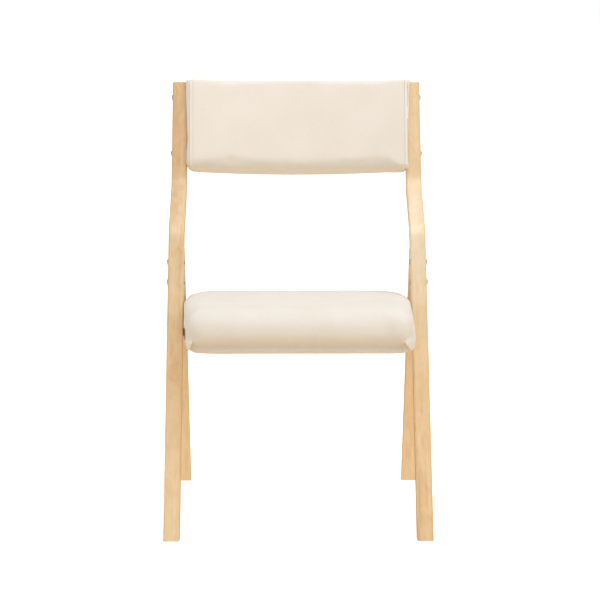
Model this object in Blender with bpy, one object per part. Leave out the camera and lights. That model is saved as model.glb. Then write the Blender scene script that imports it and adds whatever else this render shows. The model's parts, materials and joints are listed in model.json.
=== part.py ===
"""Folding wooden chair.

Two bent strips are front legs and back posts in one. Straight rear legs hang on steel tongues behind
them, and a padded seat turns on studs in the posts, with its brackets hooked over the rail between the
rear legs. Lifting the back of the seat brings the rear legs forward until everything lies along the posts.

Metres, +Z up, front towards -Y, so left and right are as seen from the front.
"""

import math

import bmesh
import bpy
from mathutils import Vector

# Gaps
CLEARANCE = 0.0003
FOLD_GAP = 0.0005
NOTCH_GAP = 0.0005

# Points of one piece that are closer than this are the same point
WELD = 0.000002

# Timber of the posts and rear legs
FRAME_WIDTH = 0.470
TIMBER_WIDTH = 0.029
TIMBER_THICKNESS = 0.022
TIMBER_ROUNDING = 0.003

# Side profile of the posts; the bends are measured on the strip's middle line
POST_LEAN = 27.9
BEND_LEAN = 57.0
BACK_LEAN = 24.2
BEND_LOW_HEIGHT = 0.511
BEND_RISE = 0.070
BEND_RADIUS = 0.085
POST_HEIGHT = 0.777

# Rear legs and the hinge that carries them
REAR_LEAN = 23.07
FOLD_PIN_DROP = 0.0474
FOLD_PIN_DIAMETER = 0.006
LEG_CROWN = 0.014
TONGUE_THICKNESS = 0.004
TONGUE_LUG_RADIUS = 0.009
TONGUE_ROOT = 0.014
TONGUE_END = 0.010
KERF_FLOOR = 0.005
FORK_DEPTH = 0.0165
HINGE_BOLT_DROP = 0.0194
HINGE_BOLT_SPACING = 0.039
SLEEVE_DIAMETER = 0.007
SLEEVE_HEAD_DIAMETER = 0.011
SLEEVE_HEAD_HEIGHT = 0.0021
SLEEVE_SETBACK = 0.003
SLEEVE_BLIND = 0.005
HINGE_SCREW_DIAMETER = 0.004
HINGE_SCREW_HEAD_DIAMETER = 0.010
HINGE_SCREW_HEAD_HEIGHT = 0.0018

# Rear rail
RAIL_DIAMETER = 0.018
TENON_DIAMETER = 0.014
TENON_LENGTH = 0.015

# Seat
SEAT_PIVOT_HEIGHT = 0.338
PIVOT_RISE = 0.0100
SEAT_REACH = 0.2024
SEAT_DEPTH = 0.410
SEAT_THICKNESS = 0.066
SEAT_CROWN = 0.008
SEAT_FRONT_ROLL = 0.030
SEAT_SIDE_ROLL = 0.022
SEAT_REAR_ROLL = 0.020
SEAT_FLAT_CORNER = 0.008
SEAT_DRAW = 0.003
SEAT_SIDE_GAP = 0.0005
SEAT_BOARD = 0.012
SEAT_HEM = 0.030
COVER = 0.0012

# Seat bracket, pivot stud and screws
WEB_THICKNESS = 0.0025
EYE_RADIUS = 0.011
HOOK_WIDTH = 0.010
HOOK_DROP = 0.006
HOOK_ROUNDING = 0.004
FLANGE_SETBACK = 0.016
FLANGE_MARGIN = 0.009
STUD_SHOULDER = 0.007
STUD_THREAD = 0.005
STUD_THREAD_LENGTH = 0.013
STUD_LAND = 0.0005
STUD_INSERT_DIAMETER = 0.008
STUD_INSERT_LENGTH = 0.015
SPACER_DIAMETER = 0.014
SEAT_SCREW_COUNT = 3
SEAT_SCREW_EDGE = 0.010
SEAT_SCREW_END = 0.026
SEAT_SCREW_DIAMETER = 0.004
SEAT_SCREW_HEAD_DIAMETER = 0.0076
SEAT_SCREW_HEAD_HEIGHT = 0.0022
SEAT_SCREW_BITE = 0.009

# Backrest
BACKREST_HEIGHT = 0.177
BACKREST_RISE = 0.0010
BACK_BOW = 0.018
BACK_BOARD = 0.015
BACK_BOARD_ROUND = 0.004
BACK_ROLL = 0.016
BACK_PAD_MARGIN = 0.004
BACK_CROWN = 0.004
BACK_OVERLAP_TOP = 0.009
BACK_OVERLAP_BOTTOM = 0.0055
BACK_NOTCH_GAP = 0.0005
BACK_BOLT_TOP = 0.0287
BACK_BOLT_BOTTOM = 0.0352
BACK_BOLT_DIAMETER = 0.005
BACK_BOLT_HEAD_DIAMETER = 0.0105
BACK_BOLT_HEAD_HEIGHT = 0.0021
BACK_BOLT_SHORT = 0.002
BACK_INSERT_DIAMETER = 0.0075
BACK_INSERT_LENGTH = 0.012

# Facets
ROUND_STEPS = 12
RAIL_STEPS = 24
BEND_STEPS = 6
CORNER_STEPS = 4
EDGE_STEPS = 4
ROLL_STEPS = 8
BACK_STATIONS = 12
CROWN_SHRINK = (0.86, 0.64, 0.3)

# Power of the crown's fall from the middle of the seat to its rim
CROWN_FALL = 4

# Dome of a low round head, as shares of its height and radius
HEAD_DOME = ((1.0, 0.0), (1.0, 0.55), (0.72, 0.85), (0.25, 1.0), (0.0, 1.0))

# Places that follow from the sizes
FULL_TURN = 2 * math.pi
QUARTER_TURN = math.pi / 2
SIDES = {"left": -1, "right": 1}
LEVELS = ("upper", "lower")
OUTER_FACE = FRAME_WIDTH / 2
INNER_FACE = OUTER_FACE - TIMBER_WIDTH
POST_X = OUTER_FACE - TIMBER_WIDTH / 2
POST_ANGLE = math.radians(POST_LEAN)
BEND_ANGLE = math.radians(BEND_LEAN)
BACK_ANGLE = math.radians(BACK_LEAN)
REAR_ANGLE = math.radians(REAR_LEAN)
FOLD_ANGLE = POST_ANGLE + REAR_ANGLE
HALF_THICKNESS = TIMBER_THICKNESS / 2


def along_strip(angle):
    """Unit (y, z) up a strip that leans back by an angle."""
    return Vector((math.sin(angle), math.cos(angle)))


def behind_strip(angle):
    """Unit (y, z) square to that strip, towards the rear."""
    return Vector((math.cos(angle), -math.sin(angle)))


def on_lower_post(distance, depth):
    """Point at a distance up the lower post's front face from the floor and a depth behind that face."""
    return along_strip(POST_ANGLE) * distance + behind_strip(POST_ANGLE) * depth


def distance_at_height(height, depth):
    """Distance up the lower post of the point that has a height and a depth."""
    return (height + depth * math.sin(POST_ANGLE)) / math.cos(POST_ANGLE)


FOLD_PIN_HEIGHT = BEND_LOW_HEIGHT - FOLD_PIN_DROP
FOLD_PIN_DEPTH = TIMBER_THICKNESS + FOLD_GAP + HALF_THICKNESS
FOLD_PIN_DISTANCE = distance_at_height(FOLD_PIN_HEIGHT, FOLD_PIN_DEPTH)
FOLD_PIN = on_lower_post(FOLD_PIN_DISTANCE, FOLD_PIN_DEPTH)
HINGE_BOLT_DISTANCES = (
    FOLD_PIN_DISTANCE - HINGE_BOLT_DROP,
    FOLD_PIN_DISTANCE - HINGE_BOLT_DROP - HINGE_BOLT_SPACING,
)
HINGE_BOLTS = [on_lower_post(distance, HALF_THICKNESS) for distance in HINGE_BOLT_DISTANCES]

SEAT_PIVOT = on_lower_post(distance_at_height(SEAT_PIVOT_HEIGHT, HALF_THICKNESS), HALF_THICKNESS)
WEB_GAP = HINGE_SCREW_HEAD_HEIGHT + 3 * CLEARANCE
WEB_OUTER = INNER_FACE - WEB_GAP
WEB_INNER = WEB_OUTER - WEB_THICKNESS
SEAT_HALF_WIDTH = WEB_INNER - SEAT_SIDE_GAP
SEAT_BOARD_HALF_WIDTH = SEAT_HALF_WIDTH - SEAT_SIDE_ROLL
FLANGE_TOP = -PIVOT_RISE - CLEARANCE
FLANGE_BOTTOM = FLANGE_TOP - WEB_THICKNESS
SEAT_SCREW_X = SEAT_BOARD_HALF_WIDTH - SEAT_SCREW_EDGE
FLANGE_INNER = SEAT_SCREW_X - FLANGE_MARGIN

RAIL_HEIGHT = SEAT_PIVOT_HEIGHT - PIVOT_RISE - CLEARANCE - RAIL_DIAMETER / 2
RAIL_DROP = (FOLD_PIN_HEIGHT - RAIL_HEIGHT) / math.cos(REAR_ANGLE)
RAIL = Vector((FOLD_PIN.x + RAIL_DROP * math.sin(REAR_ANGLE), RAIL_HEIGHT))
RAIL_FROM_PIVOT = RAIL - SEAT_PIVOT
NOTCH_RADIUS = RAIL_DIAMETER / 2 + NOTCH_GAP
FLANGE_REAR = RAIL_FROM_PIVOT.x - NOTCH_RADIUS - FLANGE_SETBACK

BEND_HIGH_HEIGHT = BEND_LOW_HEIGHT + BEND_RISE
LOW_BEND = Vector((HALF_THICKNESS / math.cos(POST_ANGLE) + BEND_LOW_HEIGHT * math.tan(POST_ANGLE),
                   BEND_LOW_HEIGHT))
HIGH_BEND = Vector((LOW_BEND.x + BEND_RISE * math.tan(BEND_ANGLE), BEND_HIGH_HEIGHT))
UPPER_LENGTH = (POST_HEIGHT - HALF_THICKNESS * math.sin(BACK_ANGLE) - BEND_HIGH_HEIGHT) / math.cos(BACK_ANGLE)
POST_TOP = HIGH_BEND + along_strip(BACK_ANGLE) * UPPER_LENGTH

BACK_HALF_HEIGHT = BACKREST_HEIGHT / 2
BACK_CENTRE = POST_TOP + along_strip(BACK_ANGLE) * (BACKREST_RISE - BACK_HALF_HEIGHT)
BACK_HALF_LENGTH = INNER_FACE - CLEARANCE
BACK_BEND_RADIUS = (BACK_HALF_LENGTH ** 2 + BACK_BOW ** 2) / (2 * BACK_BOW)
BACK_FRONT = BACK_BOARD / 2 + BACK_ROLL + BACK_PAD_MARGIN
BACK_REAR = BACK_BOARD / 2 + CLEARANCE + COVER
BACK_BOLT_RISES = (BACK_HALF_HEIGHT - BACK_BOLT_TOP, BACK_BOLT_BOTTOM - BACK_HALF_HEIGHT)


def clear_scene():
    """Remove whatever objects the file opens with."""
    for item in list(bpy.data.objects):
        bpy.data.objects.remove(item, do_unlink=True)


def make_finish(name, colour, roughness, metallic=0.0):
    """Principled material of one colour."""
    material = bpy.data.materials.new(name)
    material.use_nodes = True
    shader = material.node_tree.nodes["Principled BSDF"]
    shader.inputs["Base Color"].default_value = (*colour, 1.0)
    shader.inputs["Roughness"].default_value = roughness
    shader.inputs["Metallic"].default_value = metallic
    return material


def add_empty(name, parent=None, location=(0, 0, 0), tilt=0.0):
    """Empty that carries a group of pieces."""
    empty = bpy.data.objects.new(name, None)
    bpy.context.collection.objects.link(empty)
    empty.parent = parent
    empty.location = location
    empty.rotation_euler.x = tilt
    return empty


def add_piece(name, bm, finish, parent, location=(0, 0, 0), tilt=0.0):
    """Turn a bmesh into a named object on its carrier."""
    bmesh.ops.remove_doubles(bm, verts=bm.verts, dist=WELD)
    bmesh.ops.recalc_face_normals(bm, faces=bm.faces)
    mesh = bpy.data.meshes.new(name)
    bm.to_mesh(mesh)
    bm.free()
    mesh.shade_smooth()
    mesh.set_sharp_from_angle(angle=math.radians(35))
    piece = bpy.data.objects.new(name, mesh)
    bpy.context.collection.objects.link(piece)
    piece.parent = parent
    piece.location = location
    piece.rotation_euler.x = tilt
    if finish:
        mesh.materials.append(finish)
    return piece


def add_tool(name, bm, parent, location=(0, 0, 0), tilt=0.0):
    """Hidden shape that cuts or joins other pieces."""
    tool = add_piece(name, bm, None, parent, location, tilt)
    tool.hide_render = True
    tool.display_type = "WIRE"
    return tool


def combine(piece, tool, operation="DIFFERENCE"):
    """Boolean modifier with a hidden shape."""
    modifier = piece.modifiers.new(tool.name, "BOOLEAN")
    modifier.operation = operation
    modifier.solver = "EXACT"
    modifier.object = tool


def round_edges(piece, width):
    """Rounded long edges and ends of a timber strip."""
    modifier = piece.modifiers.new("rounding", "BEVEL")
    modifier.width = width
    modifier.segments = 2
    modifier.limit_method = "ANGLE"
    modifier.angle_limit = math.radians(30)


def arc(centre, radius, start, end, steps):
    """Points of a circle arc in a plane, angles in radians."""
    middle = Vector(centre)
    turns = [start + (end - start) * step / steps for step in range(steps + 1)]
    return [middle + Vector((math.cos(turn), math.sin(turn))) * radius for turn in turns]


def turned(bm, profile, centre, axis="X", flip=1, steps=ROUND_STEPS, closed=False):
    """Spin an (along, radius) profile about a line through a point; closed profiles make rings."""
    centre = Vector(centre)
    along_x = axis == "X"
    verts = []
    for along, radius in profile:
        offset = Vector((along * flip, 0, radius)) if along_x else Vector((radius, 0, along * flip))
        verts.append(bm.verts.new(centre + offset))
    ends = verts[1:] + verts[:1] if closed else verts[1:]
    edges = [bm.edges.new(pair) for pair in zip(verts, ends)]
    bmesh.ops.spin(bm, geom=verts + edges, cent=centre, axis=(1, 0, 0) if along_x else (0, 0, 1),
                   angle=FULL_TURN, steps=steps, use_merge=True)


def plate(bm, outline, low_x, high_x):
    """Extrude a (y, z) outline across X."""
    face = bm.faces.new([bm.verts.new((low_x, y, z)) for y, z in outline])
    grown = bmesh.ops.extrude_face_region(bm, geom=[face])
    moved = [item for item in grown["geom"] if isinstance(item, bmesh.types.BMVert)]
    bmesh.ops.translate(bm, verts=moved, vec=(high_x - low_x, 0, 0))


def block(bm, low, high):
    """Box between two corners."""
    plate(bm, [(low[1], low[2]), (high[1], low[2]), (high[1], high[2]), (low[1], high[2])], low[0], high[0])


def loft(bm, loops):
    """Skin a row of closed loops of equal count and cap both ends."""
    rings = [[bm.verts.new(point) for point in loop] for loop in loops]
    for ring, following in zip(rings, rings[1:]):
        for step in range(len(ring)):
            after = (step + 1) % len(ring)
            bm.faces.new((ring[step], ring[after], following[after], following[step]))
    bm.faces.new(rings[0])
    bm.faces.new(rings[-1])


def headed_profile(head_diameter, head_height, seat):
    """Low domed head that sits a gap above its face, from its top down to its rim."""
    return [(seat + head_height * rise, head_diameter / 2 * reach) for rise, reach in HEAD_DOME]


def rod_profile(diameter, low, high):
    """Plain rod between two distances along its axis."""
    return [(low, 0), (low, diameter / 2), (high, diameter / 2), (high, 0)]


def bore_profile(diameter, low, high):
    """Bore that clears a rod of a diameter all round."""
    return rod_profile(diameter + 2 * CLEARANCE, low, high)


def bend_path(start, corners, end, radius, steps):
    """Middle line of a strip through rounded corners, as (point, direction) stations."""
    stations = []
    points = [start, *corners, end]
    for before, corner, after in zip(points, points[1:], points[2:]):
        heading = (corner - before).normalized()
        leaving = (after - corner).normalized()
        turn = heading.angle_signed(leaving)
        side = Vector((heading.y, -heading.x)) * math.copysign(1, turn)
        sweep = abs(turn)
        entry = corner - heading * radius * math.tan(sweep / 2)
        for step in range(steps + 1):
            angle = sweep * step / steps
            point = entry + heading * radius * math.sin(angle) + side * radius * (1 - math.cos(angle))
            stations.append((point, heading * math.cos(angle) + side * math.sin(angle)))
    stations.append((end, leaving))
    return stations


def post_stations():
    """Front and rear corners of the post along its length, foot first."""
    foot_front = on_lower_post(0, 0)
    foot_rear = foot_front + Vector((TIMBER_THICKNESS / math.cos(POST_ANGLE), 0))
    pairs = [(foot_front, foot_rear)]
    foot_middle = (foot_front + foot_rear) / 2
    for point, heading in bend_path(foot_middle, [LOW_BEND, HIGH_BEND], POST_TOP, BEND_RADIUS, BEND_STEPS):
        rearward = Vector((heading.y, -heading.x)) * HALF_THICKNESS
        pairs.append((point - rearward, point + rearward))
    return pairs


def make_posts(chair, wood):
    """Bent strips with their bores and the kerf for the hinge tongue."""
    pairs = post_stations()
    loops = []
    for front, rear in pairs:
        loops.append([(-TIMBER_WIDTH / 2, *front), (TIMBER_WIDTH / 2, *front),
                      (TIMBER_WIDTH / 2, *rear), (-TIMBER_WIDTH / 2, *rear)])
    for name, side in SIDES.items():
        bm = bmesh.new()
        loft(bm, loops)
        post = add_piece(f"post_{name}", bm, wood, chair, (side * POST_X, 0, 0))
        round_edges(post, TIMBER_ROUNDING)
        combine(post, post_bores(chair, name, side))
        combine(post, kerf(chair, name, side))


def post_bores(chair, name, side):
    """Bores for hinge sleeves, backrest bolts and the seat pivot insert."""
    bm = bmesh.new()
    through = TIMBER_WIDTH
    sleeve_bore = bore_profile(SLEEVE_DIAMETER, -through, through)
    for place in HINGE_BOLTS:
        turned(bm, sleeve_bore, (side * POST_X, *place))
    bolt_bore = bore_profile(BACK_BOLT_DIAMETER, -through, through)
    for rise in BACK_BOLT_RISES:
        place = BACK_CENTRE + along_strip(BACK_ANGLE) * rise
        turned(bm, bolt_bore, (side * POST_X, *place))
    insert_bore = bore_profile(STUD_INSERT_DIAMETER, -through, STUD_INSERT_LENGTH + 2 * CLEARANCE)
    turned(bm, insert_bore, (side * INNER_FACE, *SEAT_PIVOT), flip=side)
    return add_tool(f"post_bores_{name}", bm, chair)


def kerf(chair, name, side):
    """Slot in the rear of the post that takes the tongue."""
    low = HINGE_BOLT_DISTANCES[1] - TONGUE_END - CLEARANCE
    high = FOLD_PIN_DISTANCE + TONGUE_ROOT + CLEARANCE
    depth = 2 * TIMBER_THICKNESS
    outline = [on_lower_post(*corner) for corner in
               ((low, KERF_FLOOR), (low, depth), (high, depth), (high, KERF_FLOOR))]
    half = TONGUE_THICKNESS / 2 + CLEARANCE
    bm = bmesh.new()
    plate(bm, outline, side * POST_X - half, side * POST_X + half)
    return add_tool(f"kerf_{name}", bm, chair)


def tongue_outline():
    """Plate in the kerf with a lug that reaches back to the fold pin."""
    floor = KERF_FLOOR + CLEARANCE
    low = HINGE_BOLT_DISTANCES[1] - TONGUE_END
    base = [on_lower_post(low, TIMBER_THICKNESS), on_lower_post(low, floor),
            on_lower_post(FOLD_PIN_DISTANCE + TONGUE_ROOT, floor),
            on_lower_post(FOLD_PIN_DISTANCE + TONGUE_ROOT, TIMBER_THICKNESS)]
    swing = math.atan2(TONGUE_ROOT, FOLD_PIN_DEPTH - TIMBER_THICKNESS)
    reach = math.hypot(TONGUE_ROOT, FOLD_PIN_DEPTH - TIMBER_THICKNESS)
    half_arc = math.pi - swing - math.acos(TONGUE_LUG_RADIUS / reach)
    turns = [half_arc - 2 * half_arc * step / (2 * BEND_STEPS) for step in range(2 * BEND_STEPS + 1)]
    lug = [on_lower_post(FOLD_PIN_DISTANCE + TONGUE_LUG_RADIUS * math.sin(turn),
                         FOLD_PIN_DEPTH + TONGUE_LUG_RADIUS * math.cos(turn)) for turn in turns]
    return base + lug + [on_lower_post(FOLD_PIN_DISTANCE - TONGUE_ROOT, TIMBER_THICKNESS)]


def make_tongues(chair, steel):
    """Steel knife plates with a bore for the pin and two for the sleeves."""
    for name, side in SIDES.items():
        middle = side * POST_X
        bm = bmesh.new()
        plate(bm, tongue_outline(), middle - TONGUE_THICKNESS / 2, middle + TONGUE_THICKNESS / 2)
        tongue = add_piece(f"hinge_tongue_{name}", bm, steel, chair)
        bores = bmesh.new()
        through = TONGUE_THICKNESS
        turned(bores, bore_profile(FOLD_PIN_DIAMETER, -through, through), (middle, *FOLD_PIN))
        for place in HINGE_BOLTS:
            turned(bores, bore_profile(SLEEVE_DIAMETER, -through, through), (middle, *place))
        combine(tongue, add_tool(f"tongue_bores_{name}", bores, chair))


def make_hinge_bolts(chair, steel):
    """Sleeve nuts from the outside and screws from the inside of each post."""
    blind = -SLEEVE_BLIND
    end = SLEEVE_SETBACK - TIMBER_WIDTH
    bore = HINGE_SCREW_DIAMETER / 2 + CLEARANCE
    sleeve = headed_profile(SLEEVE_HEAD_DIAMETER, SLEEVE_HEAD_HEIGHT, CLEARANCE)
    sleeve += [(CLEARANCE, SLEEVE_DIAMETER / 2), (end, SLEEVE_DIAMETER / 2),
               (end, bore), (blind, bore), (blind, 0)]
    tip = SLEEVE_BLIND + CLEARANCE - TIMBER_WIDTH
    screw = headed_profile(HINGE_SCREW_HEAD_DIAMETER, HINGE_SCREW_HEAD_HEIGHT, CLEARANCE)
    screw += [(CLEARANCE, HINGE_SCREW_DIAMETER / 2), (tip, HINGE_SCREW_DIAMETER / 2), (tip, 0)]
    for name, side in SIDES.items():
        for level, place in zip(LEVELS, HINGE_BOLTS):
            bm = bmesh.new()
            turned(bm, sleeve, (side * OUTER_FACE, *place), flip=side)
            add_piece(f"hinge_sleeve_nut_{name}_{level}", bm, steel, chair)
            bm = bmesh.new()
            turned(bm, screw, (side * INNER_FACE, *place), flip=-side)
            add_piece(f"hinge_screw_{name}_{level}", bm, steel, chair)


def leg_outline():
    """Side outline of a rear leg about its pin: foot on the floor, round front and a stop face on top."""
    slope = math.tan(REAR_ANGLE)
    drop = FOLD_PIN_HEIGHT / math.cos(REAR_ANGLE)
    foot_front = (-HALF_THICKNESS, HALF_THICKNESS * slope - drop)
    foot_rear = (HALF_THICKNESS, -HALF_THICKNESS * slope - drop)
    shoulder = arc((0, 0), HALF_THICKNESS, math.pi, math.pi - FOLD_ANGLE, BEND_STEPS)
    stop_run = (LEG_CROWN - shoulder[-1].y) / math.cos(FOLD_ANGLE)
    stop_end = shoulder[-1] + Vector((math.sin(FOLD_ANGLE), math.cos(FOLD_ANGLE))) * stop_run
    return [foot_rear, foot_front, *shoulder, stop_end, (HALF_THICKNESS, LEG_CROWN)]


def make_rear_legs(rear_frame, wood):
    """Straight legs with a forked top and a mortise for the rail."""
    half = TIMBER_WIDTH / 2
    for name, side in SIDES.items():
        place = (side * POST_X, 0, 0)
        bm = bmesh.new()
        plate(bm, leg_outline(), -half, half)
        leg = add_piece(f"rear_leg_{name}", bm, wood, rear_frame, place, REAR_ANGLE)
        round_edges(leg, TIMBER_ROUNDING)
        bores = bmesh.new()
        turned(bores, bore_profile(FOLD_PIN_DIAMETER, -TIMBER_WIDTH, TIMBER_WIDTH), (0, 0, 0))
        mortise = bore_profile(TENON_DIAMETER, -half, TENON_LENGTH + CLEARANCE)
        turned(bores, mortise, (-side * half, 0, -RAIL_DROP), flip=side, steps=RAIL_STEPS)
        combine(leg, add_tool(f"leg_bores_{name}", bores, rear_frame, place, REAR_ANGLE))
        fork = bmesh.new()
        gap = TONGUE_THICKNESS / 2 + CLEARANCE
        block(fork, (-gap, -TIMBER_THICKNESS, -FORK_DEPTH), (gap, TIMBER_THICKNESS, 2 * LEG_CROWN))
        combine(leg, add_tool(f"leg_fork_{name}", fork, rear_frame, place, REAR_ANGLE))


def make_fold_pins(rear_frame, steel):
    """Pins through the fork and the tongue, flush with the leg."""
    end = TIMBER_WIDTH / 2 - CLEARANCE
    for name, side in SIDES.items():
        bm = bmesh.new()
        turned(bm, rod_profile(FOLD_PIN_DIAMETER, -end, end), (0, 0, 0))
        add_piece(f"fold_pin_{name}", bm, steel, rear_frame, (side * POST_X, 0, 0))


def make_rear_rail(rear_frame, wood):
    """Round bar with a tenon at each end, let into the rear legs."""
    shoulder = INNER_FACE - CLEARANCE
    end = INNER_FACE + TENON_LENGTH
    rail, tenon = RAIL_DIAMETER / 2, TENON_DIAMETER / 2
    profile = [(-end, 0), (-end, tenon), (-shoulder, tenon), (-shoulder, rail),
               (shoulder, rail), (shoulder, tenon), (end, tenon), (end, 0)]
    bm = bmesh.new()
    turned(bm, profile, (0, 0, 0), steps=RAIL_STEPS)
    place = RAIL - FOLD_PIN
    add_piece("rear_rail", bm, wood, rear_frame, (0, *place))


def rounded_plan(half_width, front, rear, corner_x, corner_front, corner_rear, draw):
    """Plan outline with elliptical corners and sides that draw in between them."""
    corners = ((1, rear, corner_rear, 0), (-1, rear, corner_rear, 1),
               (-1, front, -corner_front, 2), (1, front, -corner_front, 3))
    arcs = []
    for sign, edge, corner, quarter in corners:
        centre = Vector((sign * (half_width - corner_x), edge - corner))
        turns = [QUARTER_TURN * (quarter + step / CORNER_STEPS) for step in range(CORNER_STEPS + 1)]
        reach = Vector((corner_x, abs(corner)))
        arcs.append([centre + reach * Vector((math.cos(turn), math.sin(turn))) for turn in turns])
    points = []
    for bend, following in zip(arcs, arcs[1:] + arcs[:1]):
        points += bend
        start, end = bend[-1], following[0]
        for step in range(1, EDGE_STEPS):
            share = step / EDGE_STEPS
            inward = draw * (1 - (2 * share - 1) ** 2)
            point = start.lerp(end, share)
            if abs(start.x - end.x) < 1e-9:
                point.x -= math.copysign(inward, point.x)
            points.append(point)
    return points


def seat_loop(angle, inset=0.0, hem=0.0):
    """Level loop round the seat pad, from -90 degrees underneath to 90 degrees on top."""
    roll = math.cos(angle)
    shrink = 1 - roll
    side, front, rear = (size - inset for size in (SEAT_SIDE_ROLL, SEAT_FRONT_ROLL, SEAT_REAR_ROLL))
    height = (SEAT_THICKNESS - SEAT_CROWN) / 2
    level = height - PIVOT_RISE + (height - inset) * math.sin(angle)
    plan = rounded_plan(
        SEAT_HALF_WIDTH - inset - side * shrink - hem,
        -SEAT_REACH + inset + front * shrink + hem,
        SEAT_DEPTH - SEAT_REACH - inset - rear * shrink - hem,
        SEAT_FLAT_CORNER + side * roll, SEAT_FLAT_CORNER + front * roll, SEAT_FLAT_CORNER + rear * roll,
        SEAT_DRAW * roll)
    return [Vector((x, y, level)) for x, y in plan]


def crown_loops(inset):
    """Loops that rise from the rim of the seat pad to the middle of its top."""
    rim = seat_loop(QUARTER_TURN, inset)
    middle = Vector((0, (rim[0].y + min(point.y for point in rim)) / 2, rim[0].z))
    loops = []
    for shrink in CROWN_SHRINK:
        lift = Vector((0, 0, SEAT_CROWN * (1 - shrink ** CROWN_FALL)))
        loops.append([middle.lerp(point, shrink) + lift for point in rim])
    return loops


def seat_skin(inset):
    """Loops of the seat pad from its flat underside up to the middle of its top."""
    angles = [math.pi * step / ROLL_STEPS - QUARTER_TURN for step in range(ROLL_STEPS + 1)]
    return [seat_loop(angle, inset) for angle in angles] + crown_loops(inset)


def above_level(loops, level):
    """The part of a skin above a level, with a new loop where its facets cross the level."""
    kept = [loop for loop in loops if loop[0].z > level]
    below = loops[len(loops) - len(kept) - 1]
    share = (level - below[0].z) / (kept[0][0].z - below[0].z)
    return [[low.lerp(high, share) for low, high in zip(below, kept[0])], *kept]


def make_seat_pad(seat, plywood, foam, fabric, screw_bores):
    """Board, padding and the cover that turns under the board."""
    inside = COVER + CLEARANCE
    outer = [seat_loop(-QUARTER_TURN, 0, SEAT_HEM), *seat_skin(0)]
    inner = [seat_loop(-QUARTER_TURN, COVER, SEAT_HEM), *seat_skin(COVER)]
    bm = bmesh.new()
    loft(bm, outer[::-1] + inner)
    cover = add_piece("seat_cover", bm, fabric, seat)
    bottom = seat_loop(-QUARTER_TURN, inside)
    top = [point + Vector((0, 0, SEAT_BOARD)) for point in bottom]
    bm = bmesh.new()
    loft(bm, [bottom, top])
    board = add_piece("seat_board", bm, plywood, seat)
    bm = bmesh.new()
    loft(bm, above_level(seat_skin(inside), top[0].z + CLEARANCE))
    add_piece("seat_foam", bm, foam, seat)
    for tool in screw_bores:
        combine(cover, tool)
        combine(board, tool)


def bracket_outline():
    """Web of the bracket about the pivot: eye, straight top and a hook over the rail."""
    rail_y, rail_z = RAIL_FROM_PIVOT
    hook_front = rail_y + NOTCH_RADIUS
    hook_rear = hook_front + HOOK_WIDTH
    tip = rail_z - HOOK_DROP
    lip = math.pi - math.asin((FLANGE_BOTTOM - rail_z) / NOTCH_RADIUS)
    eye = arc((0, 0), EYE_RADIUS, math.pi, QUARTER_TURN, BEND_STEPS)
    turn_y = hook_rear - HOOK_ROUNDING
    heel = arc((turn_y, EYE_RADIUS - HOOK_ROUNDING), HOOK_ROUNDING, QUARTER_TURN, 0, CORNER_STEPS)
    toe = arc((turn_y, tip + HOOK_ROUNDING), HOOK_ROUNDING, 0, -QUARTER_TURN, CORNER_STEPS)
    notch = arc((rail_y, rail_z), NOTCH_RADIUS, 0, lip, 2 * BEND_STEPS)
    return [Vector((-EYE_RADIUS, FLANGE_BOTTOM)), *eye, *heel, *toe, Vector((hook_front, tip)), *notch]


def screw_places():
    """Distances of the seat screws behind the pivot, evenly along the flange."""
    first, last = SEAT_SCREW_END - EYE_RADIUS, FLANGE_REAR - SEAT_SCREW_END
    return [first + (last - first) * step / (SEAT_SCREW_COUNT - 1) for step in range(SEAT_SCREW_COUNT)]


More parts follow.
